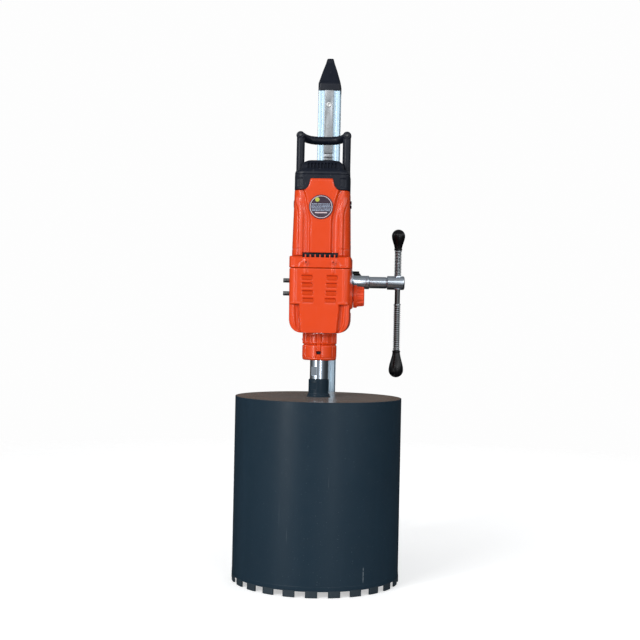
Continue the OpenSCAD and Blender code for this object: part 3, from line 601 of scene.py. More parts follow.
CASE_LOW, CASE_HIGH = box("gear_case")
COVER_LOW, COVER_HIGH = box("gear_cover")
MOTOR_LOW, MOTOR_HIGH = box("motor_housing")
CAP_LOW, CAP_HIGH = box("top_cap")
CASE_HW = COVER_HIGH[0]
STEP_Z = 575.0
SEAM_Z = COVER_LOW[2]
LEDGE_Z = COVER_HIGH[2] - 1.5
SLOT_HW = 36.5
SLOT_LOW_Z, SLOT_HIGH_Z = 671.9, 681.9
LOUVRE_Z = (634.0, 618.5, 602.5, 587.0)
RIB_X = 28.0


def case_relief(x, y, z, n):
    front = smooth(-n[..., 1], 0.25, 0.75)
    ax = np.abs(x)
    off = np.zeros_like(x)
    # wings set back under their step, with a hollow next to the middle block, which narrows to its foot
    below = 1 - smooth(z, STEP_Z - 0.4, STEP_Z + 0.4)
    edge = 37.8 + 3.7 * smooth(z, CASE_LOW[2], STEP_Z)
    hollow = 9.5 * smooth(ax, edge - 2.0, edge + 2.0) - 4.5 * smooth(ax, edge + 6.0, edge + 15.0)
    off -= front * below * hollow
    # lip over the step
    off += front * 0.7 * hump(z, STEP_Z + 2.2, 1.6) * smooth(ax, 37, 41)
    # louvres: a groove with a fading ridge under it
    for k, lz in enumerate(LOUVRE_Z):
        for s in (-1, 1):
            cx = s * (26.0 - 0.9 * k)
            across = 1 - smooth(np.abs(x - cx), 10.2, 11.8)
            off -= front * across * 2.4 * hump(z, lz, 0.95)
            fall = smooth(z, lz - 8.2, lz - 2.2) * (1 - smooth(z, lz - 1.7, lz - 0.9))
            off += front * across * 2.3 * fall
            off -= front * across * 1.1 * hump(z, lz - 8.8, 0.8)
    # vertical ribs of the two front screws
    rib = hump(ax, RIB_X, 2.3)
    off += front * 2.2 * rib * smooth(z, 636.5, 640.5)
    # faint edge down each side of the flat front
    off += front * 0.9 * (smooth(ax, 46, 50) - smooth(ax, 50, 57)) * smooth(z, STEP_Z, STEP_Z + 6)
    # shallow panel on each flank, with its corners rounded
    side = smooth(np.abs(n[..., 0]), 0.9, 0.99)
    mid_y = (CASE_LOW[1] + CASE_HIGH[1]) / 2
    off -= side * 1.4 * patch(y, z, mid_y + 30, 595, 34, 36, 8, 2.0)
    # shallow panel on the rear
    rear = smooth(n[..., 1], 0.9, 0.99)
    off -= rear * 1.3 * patch(x, z, 0, 592, 44, 42, 10, 2.0)
    return off


def case_outline(z):
    r = 25.0
    low = CASE_LOW[2]
    hw = CASE_HW - 0.5 - 1.3 * (SEAM_Z - z) / (SEAM_Z - low)
    if z < low + r:
        hw += -r + math.sqrt(max(r * r - (low + r - z) ** 2, 0.0)) * 0.98
    front = CASE_LOW[1]
    return hw, front, CASE_HIGH[1], min(15.0, hw * 0.45), 12.0


def cover_relief(x, y, z, n):
    front = smooth(-n[..., 1], 0.25, 0.75)
    ax = np.abs(x)
    off = np.zeros_like(x)
    rib = hump(ax, RIB_X, 2.3)
    off += front * 2.2 * rib * (1 - smooth(z, 664.5, 667.5))
    # sunken panels at both ends, running in to the middle in a curve
    inner = 33 + 10 * smooth(z, 668, 655)
    panel = smooth(ax, inner - 1.2, inner + 1.2) * (1 - smooth(ax, 55, 58))
    off -= front * 1.5 * panel * smooth(z, 652.5, 654.5) * (1 - smooth(z, 671.5, 673.5))
    # the vent slot's lower half
    above = smooth(z, SLOT_LOW_Z - 0.3, SLOT_LOW_Z + 0.3)
    off -= front * 16.0 * (1 - smooth(ax, SLOT_HW - 0.3, SLOT_HW + 0.3)) * above
    side = smooth(np.abs(n[..., 0]), 0.9, 0.99)
    off -= side * 1.2 * patch(y, z, (CASE_LOW[1] + CASE_HIGH[1]) / 2, 662, 48, 8, 3, 1.6)
    return off


def x_lines(marks, step):
    base = set(np.round(np.linspace(-1, 1, int(2 / step) + 1), 4))
    for mk in marks:
        base = {v for v in base if abs(v - mk) > step * 0.45}
        base |= {round(mk - 0.005, 4), round(mk + 0.005, 4)}
    return np.array(sorted(v for v in base if -1 <= v <= 1))


def orange_castings():
    xs = x_lines([s * v / CASE_HW for s in (-1, 1) for v in (SLOT_HW, 40.0)], 1.3 / CASE_HW)
    rows = spaced(CASE_LOW[2], SEAM_Z, 1.25, [STEP_Z, *LOUVRE_Z])
    corner = CASE_LOW[2] + 25 * (1 - np.cos(np.linspace(0, 1.5, 22)))
    rows = np.array(sorted(set(rows) | set(np.round(corner, 3))))
    s = Soup().add(*casting(rows, case_outline, case_relief, xs, 0.8))
    # boss under the gear selector
    sel = middle("gear_selector")
    end = CASE_HIGH[0] - 0.8
    boss = fillet([(0, 40), (27.5, 40), (27.5, CASE_HW + 1.0), (25.6, CASE_HW + 1.6), (25.6, end), (0, end)],
                  [0, 0, 1.5, 1, 1.2, 0])
    s.add(*spin(boss[1:-1], 72), place((0, sel[1], sel[2]), "x"))
    s.cover("gear_case", 40)
    rows = spaced(SEAM_Z + 0.05, LEDGE_Z, 1.2, [SLOT_LOW_Z])
    plan = (CASE_HW, CASE_LOW[1], CASE_HIGH[1], 15.0, 12.0)
    Soup().add(*casting(rows, lambda z: plan, cover_relief, xs, 1.4)).cover("gear_cover", 40)


# --------------- motor housing
SKIRT_Z = CAP_LOW[2]


def motor_outline(z):
    t = (z - MOTOR_LOW[2]) / (SKIRT_Z - MOTOR_LOW[2])
    hw = MOTOR_HIGH[0] - 1.2 + (57.6 - MOTOR_HIGH[0] + 1.2) * t
    return hw, MOTOR_LOW[1] + 5.0, MOTOR_HIGH[1], 26.0, 22.0


def motor_relief(x, y, z, n):
    front = smooth(-n[..., 1], 0.15, 0.6)
    ax = np.abs(x)
    off = np.zeros_like(x)
    # raised panel: 36 half width at the top, closing to 22 and running straight down
    edge = 22.0 + 14.0 * smooth(z, 745, 800) * (0.6 + 0.4 * smooth(z, 790, 815))
    panel = 1 - smooth(ax, edge - 1.7, edge + 1.7)
    off += front * 4.6 * panel
    off += front * 0.5 * hump(ax, edge - 1.6, 1.1)
    # valley beside the panel
    off -= front * 1.3 * smooth(ax, edge, edge + 4) * (1 - smooth(ax, edge + 6, edge + 12))
    # side ridge, bending outwards and fading at the top
    bend = 9.0 * smooth(z, 752, 798) ** 1.5
    fade = 1 - smooth(z, 775, 800)
    centre = 41.0 + bend
    ridge = smooth(ax, centre - 5.8, centre - 3.2) * (1 - smooth(ax, centre + 3.2, centre + 5.8))
    off += front * 2.6 * ridge * fade
    off -= front * 0.8 * hump(ax, centre + 6.8, 1.2) * fade
    # vent slot's upper half
    under = 1 - smooth(z, SLOT_HIGH_Z - 0.3, SLOT_HIGH_Z + 0.3)
    off -= front * 16.0 * (1 - smooth(ax, SLOT_HW - 0.3, SLOT_HW + 0.3)) * under
    # seam near the foot and cooling slits in the flanks
    off -= 0.8 * hump(z, 690.0, 0.7) * (1 - front * (1 - smooth(ax, SLOT_HW, SLOT_HW + 3)))
    side = smooth(np.abs(n[..., 0]), 0.93, 0.99)
    slits_y = (MOTOR_LOW[1] + MOTOR_HIGH[1]) / 2 + 2
    for k in range(6):
        off -= side * 3.0 * patch(y, z, slits_y, 706 + 8 * k, 24, 1.9, 1.8, 1.0)
    # the switch's recess at the rear, in a raised frame
    rear, switch_z = smooth(n[..., 1], 0.9, 0.99), middle("power_switch")[2]
    off -= rear * 5.6 * patch(x, z, 0, switch_z, 10.7, 17.7, 2.5, 0.8)
    off += rear * 0.9 * patch(x, z, 0, switch_z, 14.5, 21.5, 4, 0.8)
    off -= rear * 0.9 * patch(x, z, 0, switch_z, 11.4, 18.4, 2.5, 0.8)
    return off


def motor_housing():
    hw = MOTOR_HIGH[0]
    xs = x_lines([-SLOT_HW / hw, SLOT_HW / hw], 0.9 / hw)
    rows = spaced(LEDGE_Z + 0.3, SKIRT_Z + 0.5, 0.9, [SLOT_HIGH_Z])
    s = Soup().add(*casting(rows, motor_outline, motor_relief, xs, 1.0))
    # tongue between the cap's legs: a crowned plate with bevelled sides
    y0 = MOTOR_LOW[1] + 0.3
    zs = np.linspace(SKIRT_Z - 3, MOTOR_HIGH[2], 18)
    us = np.linspace(-1, 1, 41)
    rings = []
    for z in zs:
        t = (z - zs[0]) / (zs[-1] - zs[0])
        half = 25.0 + 4.5 * (1 - t) + 11.5 * (1 - t) ** 4
        lean = 2.2 * smooth(z, MOTOR_HIGH[2] - 2.5, MOTOR_HIGH[2] + 0.3)
        front = [(u * half, y0 + 0.3 + 5.5 * smooth(abs(u) * half, half - 3.4, half) + 0.6 * u * u + lean, z)
                 for u in us]
        rings.append(front + [(x, y0 + 13, z) for x, _, z in front[::-1]])
    s.add(*loft(rings)).cover("motor_housing", 40)
    # ribs in the vent slot, and behind them a black block that is painted shade for the inside, with a screen
    # of thin bars
    y = CASE_LOW[1]
    s = Soup()
    for k in range(-3, 4):
        s.add(*prism(rounded(2.8, 9.0, 1.2, 4, k * 10.0, y + 6.3), 671.0, 677.6))
    s.build("vent_ribs", "carriage", "orange_paint", smooth=40)
    # painted shade: a black block stands for the dark inside of the slot
    s = Soup().add(*block((-SLOT_HW, y + 13.0, 670.0), (SLOT_HW, y + 22.0, 681.6)))
    for k in range(-8, 9):
        s.add(*tube([(k * 4.3, y + 12.8, 671), (k * 4.3, y + 12.8, 681.2)], 0.7, 8))
    s.build("vent_screen_and_painted_shade", "carriage", "black_plastic", smooth=40)


# --------------- top cap and handle
CAP_SEAM_Z = 844.0
CAP_RIM_Z = 846.0                        # where the cap starts to curve in
LEG_Z = 827.0                            # middle of the panels on the cap's legs


def cap_outline(z):
    front, back = CAP_LOW[1], CAP_HIGH[1]
    # height, half width, inset of front and back, corner radius
    table = [(CAP_LOW[2], 57.3, 0, 22), (CAP_RIM_Z, 57.3, 0, 22), (850, 56.6, 0.6, 22),
             (852.6, 54.5, 2.2, 21), (853.6, 51.5, 3.2, 20), (855.2, 46.6, 4.6, 18),
             (858, 45.0, 6.6, 17), (864, 44.0, 9.0, 17), (868.5, 42.0, 11.5, 16),
             (872, 38.6, 14.5, 15), (874.4, 34.5, 17.5, 13), (875.6, 30.5, 20.5, 11),
             (CAP_HIGH[2], 26.0, 24.0, 10)]
    zs = [t[0] for t in table]
    hw, inset, r = (float(np.interp(z, zs, [t[k] for t in table])) for k in (1, 2, 3))
    return hw, front + inset, back - inset * 0.9, r, r


def cap_relief(x, y, z, n):
    front = smooth(-n[..., 1], 0.3, 0.8)
    rear = smooth(n[..., 1], 0.3, 0.8)
    ax = np.abs(x)
    off = -0.9 * hump(z, CAP_SEAM_Z, 0.7) * (1 - 0.4 * smooth(ax, 50, 54))
    bars = 0.5 + 0.5 * np.cos(2 * np.pi * x / 7.0)
    rows = smooth(z, 856.5, 858.5) * (1 - smooth(z, 867.5, 869.5)) * (1 - smooth(ax, 29.5, 32.5))
    off -= (front + rear) * 3.2 * rows * smooth(bars, 0.38, 0.62)
    # sunken panels on the legs
    off -= front * patch(ax, z, 44, LEG_Z, 6.0, 9.0, 3, 1.4)
    side = smooth(np.abs(n[..., 0]), 0.9, 0.99)
    mid = (CAP_LOW[1] + CAP_HIGH[1]) / 2
    off -= side * 1.2 * patch(y, z, mid, LEG_Z, 30, 8.5, 3, 1.4)
    for k in range(7):
        off -= side * 1.6 * patch(y, z, mid - 24 + 8 * k, LEG_Z, 1.6, 7.0, 1.4, 0.8)
    return off


def top_cap():
    xs = x_lines([], 0.9 / CAP_HIGH[0])
    rows = np.array(sorted(set(spaced(CAP_LOW[2] + 0.05, CAP_HIGH[2], 1.1, [CAP_SEAM_Z]))
                           | {853.0, 853.3, 853.6, 875.0, 875.3, 875.6, 875.8}))
    s = Soup().add(*casting(rows, cap_outline, cap_relief, xs, 0.9))
    # bosses that take the handle's feet
    low, high = box("carry_handle")
    boss = fillet([(0, CAP_RIM_Z), (10.8, CAP_RIM_Z), (10.4, 858), (0, 860)], [0, 0, 2.5, 0])
    for sx in (-1, 1):
        s.add(*spin(boss, 48), place((sx * (high[0] - 9.7), low[1] + 8.0, 0)))
    s.cover("top_cap", 38)


def carry_handle():
    low, high = box("carry_handle")
    x, y = high[0] - 7.9, low[1] + 7.9
    top, foot = high[2] - 8.0, CAP_RIM_Z
    back = high[1] - 7.9
    sag = [(u * x, back - (back - y) * abs(u) ** 5, top - 6.0 + 5.0 * abs(u) ** 2.5)
           for u in np.linspace(-0.9, 0.9, 25)]
    path = fillet([(-x, y, foot), (-x, y, top), sag[0]], [0, 7, 0], 8) + sag[1:-1]
    path += fillet([sag[-1], (x, y, top), (x, y, foot)], [0, 7, 0], 8)
    dense = []
    for a, b in zip(path, path[1:]):
        steps = max(1, int(np.linalg.norm(np.array(b) - a) / 3))
        dense += [np.array(a) + (np.array(b) - a) * k / steps for k in range(steps)]
    dense.append(path[-1])
    rad = []
    for p in dense:
        grip = 1 - smooth(abs(p[0]), 26, 30)
        wave = 0.35 * math.cos(p[0] * 2 * math.pi / 6.0) * grip
        rad.append(8.6 + 0.3 * grip + min(wave, 0.0) + 0.4 * (1 - smooth(p[2], foot + 4, foot + 9)))
    s = Soup().add(*tube(dense, rad, 28))
    pad = fillet([(0, -8.6), (7.6, -8.6), (9.0, -4.5), (9.0, 4), (0, 8.6)], [0, 2.0, 2, 3, 0])
    screws = Soup()
    for sx in (-1, 1):
        s.add(*spin(pad, 36), place((sx * (x + 0.4), y, top - 0.6), "y"))
        screws.add(*screw_head(3.4, 1.6), place((sx * (x + 0.4), y - 8.5, top - 0.2), "-y"))
    s.cover("carry_handle", 40)
    screws.build("handle_screws", "carriage", "zinc_steel", "bar_steel")


SOCKET = 0.55                            # a hexagonal socket's radius over its head's


def screw_head(r, h):
    """Button head with a hexagonal socket, its top towards +Z."""
    hole, floor = r * SOCKET, h * 0.35
    prof = fillet([(0, -1), (r, -1), (r, h * 0.45), (r * 0.72, h), (hole, h), (hole, floor), (0, floor)],
                  [0, 0, 0.4, 0.5, 0.15, 0, 0], 3)
    v, f = spin(prof, 24)
    inner = np.hypot(v[:, 0], v[:, 1]) < hole * 1.02
    ang = np.arctan2(v[:, 1], v[:, 0])
    flat = np.cos(math.pi / 6) / np.cos((ang + math.pi / 6) % (math.pi / 3) - math.pi / 6)
    v[inner & (v[:, 2] > h * 0.2), :2] *= flat[inner & (v[:, 2] > h * 0.2), None]
    return v, f


# --------------- neck, spindle, bit
ON_SPINDLE = place((0, -THROW, 0))


def drum(radius_at, rows, n):
    """Loft about Z whose radius is a function of angle and height."""
    a = np.linspace(0, 2 * np.pi, n, endpoint=False)
    rings = []
    for z in rows:
        r = radius_at(a, np.full_like(a, z))
        rings.append([(q * math.cos(t), q * math.sin(t), z) for q, t in zip(r, a)])
    return loft(rings)


def turned(v, angle):
    """Turns points anticlockwise about Z."""
    v = np.array(v)
    c, q = math.cos(angle), math.sin(angle)
    v[:, :2] = v[:, :2] @ np.array([[c, q], [-q, c]])
    return v


GROOVE_Z = 491.5
WEEP_Z, WEEP_HH = 474.8, 3.1


def neck():
    low, high = box("neck_housing")
    big = (high[0] - low[0]) / 2

    def radius(a, z):
        r = np.full_like(a, big)
        r -= 4.5 * (1 - np.sqrt(np.clip(1 - (1 - np.clip((z - low[2]) / 5.5, 0, 1)) ** 2, 0, 1)))
        turn = (a + math.pi / 2 + math.pi) % (2 * math.pi) - math.pi     # 0 facing -Y
        six = (turn + math.pi / 6) % (math.pi / 3) - math.pi / 6         # repeats six times round
        arc, across = turn * big, np.abs(six * big)
        r -= 0.9 * hump(z, 464.2, 0.8)
        near = 1 - smooth(np.abs(arc), 4.2, 5.2)
        r -= 3.0 * hump(z, GROOVE_Z, 1.5) * (1 - 0.6 * near)
        r -= 1.8 * hump(across, 5.0, 0.9) * smooth(z, 463, 466)
        r -= 1.95 * patch(across, z, 11.9, 502.8, 5.2, 7.6, 2.5, 1.0) * (np.abs(turn) < 2.9)
        return r - 9.0 * patch(arc, z, 0, WEEP_Z, 5.2, WEEP_HH, 0.8, 0.5)     # weep slot

    rows = set(spaced(low[2], high[2], 0.9, [WEEP_Z - 2.9, WEEP_Z + 2.9, GROOVE_Z]))
    rows = sorted(rows | {low[2] + d for d in (0.2, 0.5, 0.9, 1.4)})
    Soup().add(*drum(radius, rows, 300), ON_SPINDLE).cover("neck_housing", 42)
    # painted shade: a black drum inside the neck, behind the weep slot
    inside = drum(lambda a, z: np.full_like(a, big - 6.0), [WEEP_Z - 6.8, WEEP_Z + 7.2], 64)
    Soup().add(*inside, ON_SPINDLE).build("weep_shadow", "carriage", "black_plastic")


SEG_HIGH = box("bit_segments")[1]
TUBE_LOW, TUBE_HIGH = box("bit_barrel")
HEAD_LOW, HEAD_HIGH = box("bit_head")
BIT_R = (HEAD_HIGH[0] - HEAD_LOW[0]) / 2
BIT_WALL = 4.0
PLATE_TOP = TUBE_HIGH[2] + 10.0
HUB_TOP = HEAD_HIGH[2]
HUB_FLAT_HW = 20.0
HUB_TURN = math.radians(62)
SHAFT_FLAT_HW = 17.6
SHAFT_TURN = math.radians(-34)
SEGMENTS = 24
SEGMENT_ARC = math.radians(8)
SEGMENT_TURN = math.radians(4.4)


def core_bit():
    z0, z1 = TUBE_LOW[2], TUBE_HIGH[2]
    r, inner = BIT_R, BIT_R - BIT_WALL
    # tube: rolled wall, thickened band at the rim
    prof = fillet([(inner, z1), (inner, z0), (r - 0.2, z0), (r - 0.2, z0 + 9), (r - 0.45, z0 + 9.6),
                   (r - 0.45, PLATE_TOP), (r - 2.0, PLATE_TOP), (r - 2.0, z1)],
                  [0, 0.6, 0.8, 0.6, 0.6, 1.0, 0, 0], 3)
    Soup().add(*spin(prof, 256), ON_SPINDLE).cover("bit_barrel", 30)
    # closed end; its top face has a brown colour that is a painted reflection of a warm surround
    prof = [(0, z1 + 0.05), (r - 2.2, z1 + 0.05), (r - 1.9, z1 + 1.0), (r - 1.9, PLATE_TOP - 0.1),
            (0, PLATE_TOP - 0.1)]
    plate = Soup().add(*spin(prof, 256), ON_SPINDLE)
    heights = [np.mean([plate.v[i][2] for i in face]) for face in plate.f]
    plate.m = [int(h > PLATE_TOP - 0.35) for h in heights]
    # hub on a weld fillet, with spanner flats on both sides
    hub = [(25.8, -0.5), (23.8, 1.4), (23.2, 2.6), (23.0, 5.0), (21.7, 6.4), (21.4, 8.0)]
    hub += [(21.4, h) for h in (13.0, 15.9, 16.1, 20.0, 24.0, 29.9, 30.1)]
    hub = [(0, PLATE_TOP - 0.5)] + [(q, PLATE_TOP + h) for q, h in hub]
    hub += [(21.4, HUB_TOP - 1.4), (20.4, HUB_TOP), (19.3, HUB_TOP), (19.2, HUB_TOP - 1.5)]
    hub.append((0, HUB_TOP - 1.5))
    v, f = spin(fillet(hub, [0] + [1] * 6 + [0] * 7 + [1, 0.4, 0.3, 0, 0], 3), 120)
    flat = (v[:, 2] > PLATE_TOP + 16.0) & (v[:, 2] < PLATE_TOP + 30.0)
    v[flat, 0] = np.clip(v[flat, 0], -HUB_FLAT_HW, HUB_FLAT_HW)
    plate.add(turned(v, HUB_TURN), f, ON_SPINDLE)
    plate.cover("bit_head", 35, None, [MAT["bit_paint"], MAT["bit_top_painted_reflection"]])
    # segments: laser welded blocks with eased edges
    s = Soup()
    r0, r1, top = inner - 0.1, SEG_HIGH[0] - 0.02, SEG_HIGH[2] + 1.6
    n = 8
    for k in range(SEGMENTS):
        start = (k + 0.5) * 2 * math.pi / SEGMENTS + SEGMENT_TURN
        ring = []
        for i in range(n + 1):
            a = start + SEGMENT_ARC * i / n
            ease = 0.5 if i in (0, n) else 0.0
            section = [(r0 + ease, 0.5), (r0 + 0.5 + ease, 0.0), (r1 - 0.6 - ease, 0.0), (r1 - ease, 0.7),
                       (r1 - ease, top - 0.4), (r1 - 0.5 - ease, top), (r0 + ease, top)]
            ring.append([(q * math.cos(a), q * math.sin(a), z) for q, z in section])
        s.add(*loft(ring), ON_SPINDLE)
    s.cover("bit_segments", 30)


def spindle():
    """Ground shaft between the neck and the bit's hub, with a spanner flat on each side."""
    low, high = box("spindle")
    r = (high[0] - low[0]) / 2
    prof = [(5.2, low[2]), (13.2, low[2]), (13.9, low[2] + 1), (13.9, HUB_TOP + 0.1)]
    prof += [(r - 0.6, HUB_TOP + 0.1), (r, HUB_TOP + 0.8)]
    prof += [(r, z) for z in (426.9, 427.1, 431, 436, 441, 444.9, 445.1, 480, 513.6)]
    prof += [(r - 0.6, 514.2), (15.9, 514.2), (15.9, 587), (12, 587.2), (12, high[2]), (5.2, high[2])]
    v, f = spin(prof, 160)
    flat = (v[:, 2] > 427) & (v[:, 2] < 445) & (np.hypot(v[:, 0], v[:, 1]) > r - 1)
    v[flat, 1] = np.clip(v[flat, 1], -SHAFT_FLAT_HW, SHAFT_FLAT_HW)
    Soup().add(turned(v, SHAFT_TURN), f, ON_SPINDLE).cover("spindle", 12, "spindle_steel")


# --------------- column cap
def column_cap():
    low, high = box("column_cap")
    w, d, h = high - low
    cy = (high[1] + low[1]) / 2
    # height, width and depth as shares of the foot's, shift to the rear
    table = [(0.0, 1.0, 1.0, 0), (16.0, 1.0, 1.0, 0), (19.0, 0.985, 0.97, 0.2), (24.0, 0.93, 0.90, 1),
             (h * 0.6, 0.66, 0.62, 2), (h - 12, 0.40, 0.40, 3), (h - 3, 0.31, 0.33, 3),
             (h - 0.8, 0.27, 0.28, 3), (h, 0.20, 0.22, 3)]
    zs = [t[0] for t in table]
    lip_h = 1.2
    rings = []
    for z in sorted(set(np.linspace(0, h, 60)) | {*zs, lip_h}):
        fx, fy, shift = (float(np.interp(z, zs, [t[k] for t in table])) for k in (1, 2, 3))
        lip = 1.6 * max(0.0, 1 - z / lip_h)
        loop = rounded(w * fx - lip, d * fy - lip, min(6.0, 5.0 * fx + 0.8), 6, 0, cy + shift)
        rings.append([(x, y, low[2] + z) for x, y in loop])
    Soup().add(*loft(rings)).cover("column_cap", 30)


# --------------- feed drive
HUB_LOW, HUB_HIGH = box("feed_hub")
HUB_R = (HUB_HIGH[2] - HUB_LOW[2]) / 2
FEED_Y, FEED_Z = middle("feed_hub")[1:]
BAR_X = middle("sliding_bar")[0]
ON_FEED = place((0, FEED_Y, FEED_Z), "x")


def feed_drive():
    (x0, _, _), (x1, _, _) = box("pinion_housing")
    r = 15.2
    prof = fillet([(0, x0), (17, x0), (17, 54.8), (26, 54.8), (26, 62), (19, 62.6), (r + 1.0, 64.5), (r, 66),
                   (r, x1 - 8.5), (r - 0.5, x1 - 8.1), (r - 0.5, x1 - 7.3), (r, x1 - 6.9), (r, x1 - 1.4),
                   (r - 1.2, x1), (0, x1)], [0, 0.5, 0, 1.2, 1.2, 1, 1, 0, 0.2, 0.2, 0.2, 0.2, 1, 0.4, 0], 3)
    s = Soup().add(*spin(prof), ON_FEED)
    for k in range(4):
        a = math.radians(45 + 90 * k)
        at = (62.0, FEED_Y + 21.5 * math.cos(a), FEED_Z + 21.5 * math.sin(a))
        s.add(*screw_head(3.4, 2.4), place(at, "x"))
    s.cover("pinion_housing", 34)
    x0, x1, r = HUB_LOW[0], HUB_HIGH[0], HUB_R
    prof = fillet([(0, x0), (12.4, x0), (13.0, x0 + 0.8), (13.0, x0 + 37.0), (11.9, x0 + 38),
                   (11.9, x0 + 39.2), (r - 0.8, x0 + 39.8), (r, x0 + 41), (r, x1 - 3.6), (r - 1.2, x1 - 1.4),
                   (r - 4.5, x1 - 0.3), (4.2, x1), (4.0, x1 - 1.4), (0, x1 - 1.6)],
                  [0, 0.4, 0.3, 0.4, 0.3, 0.3, 0.4, 0.5, 1.5, 2, 2, 0.4, 0.4, 0])
    s = Soup().add(*spin(prof), ON_FEED)
    # collars round the bar's hole
    ring = fillet([(6.1, r - 2.5), (10.2, r - 2.5), (10.0, r - 0.35), (9.2, r - 0.02), (6.9, r - 0.02),
                   (6.1, r - 0.6)], [0, 0, 0.5, 0.4, 0.4, 0], 3)
    v, f = spin(ring, 48)
    for sz in (-1, 1):
        s.add(v * (1, 1, sz), f, place((BAR_X, FEED_Y, FEED_Z)))
    s.cover("feed_hub", 34)


COIL_R, WIRE_R = 7.1, 1.0
COIL_STEPS = 22


def bar():
    z0, z1 = (corner[2] for corner in box("sliding_bar"))
    prof = [(0, z0), (5.6, z0), (6.0, z0 + 0.6), (6.0, z1 - 0.6), (5.6, z1), (0, z1)]
    on_bar = place((BAR_X, FEED_Y, 0))
    Soup().add(*spin(prof, 40), on_bar).cover("sliding_bar", 32, "bar_steel")
    s = Soup()
    low, high = box("bar_knobs")
    for sz, end, length, r in ((1, high[2], 48.0, 15.0), (-1, low[2], 61.0, 16.4)):
        prof = [(0, 0.0), (6.2, 0.0), (8.2, 0.2), (9.0, 1.2), (9.0, 4.0), (8.2, 5.0), (8.6, 6.2)]
        prof += [(8.6 + (r - 8.6) * smooth(t, -0.05, 1.0) ** 0.9, 6.2 + (length - r - 6.2) * t)
                 for t in np.linspace(0.05, 1, 14)]
        prof += [(r * math.cos(a), length - r + r * math.sin(a))
                 for a in np.linspace(0.08, math.pi / 2, 14)[:-1]]
        v, f = spin(prof + [(0, length)], 72)
        s.add(v * (1, 1, sz), f, place((BAR_X, FEED_Y, end - sz * length)))
    s.cover("bar_knobs", 40)
    s = Soup()
    low, high = box("bar_springs")
    for z0, z1, turns in ((FEED_Z + HUB_R + 0.2, high[2], 18), (low[2], low[2] + 105.0, 23)):
        a = 2 * np.pi * np.arange(turns * COIL_STEPS + 1) / COIL_STEPS
        closed = 1.2 / turns                # the coils lie close together at both ends
        rise = np.interp(a / a[-1], [0, closed, 1 - closed, 1], [0, 0.022, 0.978, 1])
        z = z0 + WIRE_R + (z1 - z0 - 2 * WIRE_R) * rise
        path = np.stack([COIL_R * np.cos(a), COIL_R * np.sin(a), z], 1)
        s.add(*tube(path, WIRE_R, 8), on_bar)
    s.cover("bar_springs", 60, "spring_steel")


def selector():
    """Knob with twelve flutes, and a raised grip bar across its end."""
    low, high = box("gear_selector")
    spot = place((0, *middle("gear_selector")[1:]), "x")
    x0, x1 = 69.0, high[0]

    def radius(a, x):
        r = np.interp(x, [x0, x0 + 0.5, x0 + 1.2, x0 + 6.8, x0 + 7.6, x0 + 8.0, x0 + 9.0, x1 - 2.0, x1 - 0.8,
                          x1 - 0.1], [22.8, 23.5, 24.0, 24.0, 23.4, 22.0, 21.6, 20.4, 19.6, 17.8])
        wave = 0.5 + 0.5 * np.cos(a * 12)
        return r - smooth(x, x0 + 8.4, x0 + 9.6) * 1.5 * smooth(wave, 0.35, 0.75)

    rows = [x0 + d for d in (0, 0.3, 0.6, 1.2, 4, 6.8, 7.3, 7.7, 8.1, 8.6, 9.1, 9.8, 12, 15)]
    rows += [x1 - d for d in (3.5, 2.2, 1.4, 0.8, 0.4, 0.1)]
    s = Soup().add(*drum(radius, rows, 192), spot)
    s.add(*prism(rounded(7.5, 33, 3.4), x1 - 1.5, x1), spot)
    s.build("v_gear_selector", "selector", "orange_knob", smooth=36)
    shaft = spin([(0, low[0]), (8, low[0]), (8, x0 + 0.5), (0, x0 + 0.5)], 40)
    s = Soup().add(*shaft, spot)
    s.build("selector_shaft", "selector", "orange_knob", "zinc_steel", ("gear_selector",))


def brush_caps():
    """Slotted screw caps over the motor's brushes."""
    low, high = box("brush_caps")
    cy, cz = middle("brush_caps")[1:]
    r = (high[2] - low[2]) / 2
    foot, proud, slot = 0.8, 3.2, 1.1
    wall = motor_outline(cz)[0] - 0.3
    ease = math.asin(slot / r)
    bow = [(r * math.cos(a), r * math.sin(a)) for a in np.linspace(ease, math.pi - ease, 25)]
    s = Soup()
    for sx, axis in ((1, "x"), (-1, "-x")):
        spot = place((sx * wall, cy, cz), axis)
        s.add(*spin([(0, -2.0), (r + 0.9, -2.0), (r + 0.9, foot), (0, foot)], 56), spot)
        for half in (1, -1):
            s.add(*prism([(x * half, y * half) for x, y in bow], foot - 0.2, proud), spot)
    add_bevel(s.cover("brush_caps", 30), 3)


# --------------- badge
def badge():
    """Round plate with a dot, rows of plain broken bars and one stripe."""
    low, high = box("badge")
    r, t = (high[0] - low[0]) / 2, high[1] - low[1]
    spot = place((0, high[1], (low[2] + high[2]) / 2), "-y")
    face = t - 0.45
    s = Soup()
    plate = fillet([(0, 0), (r - 0.2, 0), (r, 0.3), (r, t - 0.5), (r - 0.5, t), (r - 1.3, t), (r - 1.8, face),
                    (0, face)], [0, 0, 0.2, 0.3, 0.3, 0.3, 0.3, 0], 3)
    s.add(*spin(plate, 128), spot)
    ring = [(r - 3.1, face - 0.2), (r - 3.1, face + 0.12), (r - 1.8, face + 0.12), (r - 1.8, face - 0.2)]
    s.add(*spin(ring, 128), spot, 1)
    dot = [(0, face - 0.2), (4.5, face - 0.2), (4.5, face + 0.15), (4.1, face + 0.25), (0, face + 0.25)]
    v, f = spin(dot, 40)
    s.add(v + (-8.0, 15.0, 0), f, spot, 2)
    draw = np.random.default_rng(7)
    for row in range(6):
        y = 6.2 - 2.8 * row
        half = math.sqrt((r - 5.0) ** 2 - y * y)
        x = -half
        while x < half - 1.2:
            w = min(float(draw.uniform(1.6, 4.6)), half - x)
            s.add(*prism(rounded(w, 1.15, 0.3, 2, x + w / 2, y), face - 0.2, face + 0.12), spot, 3)
            x += w + float(draw.uniform(0.5, 1.0))
    s.add(*prism(rounded(25.0, 2.3, 0.6, 3, 0, -12.0), face - 0.2, face + 0.14), spot, 1)
    s.cover("badge", 34, None, [MAT["badge_" + part] for part in ("print", "ring", "dot", "bars")])


# --------------- wheels
SPOKES = 5
TREADS = 30


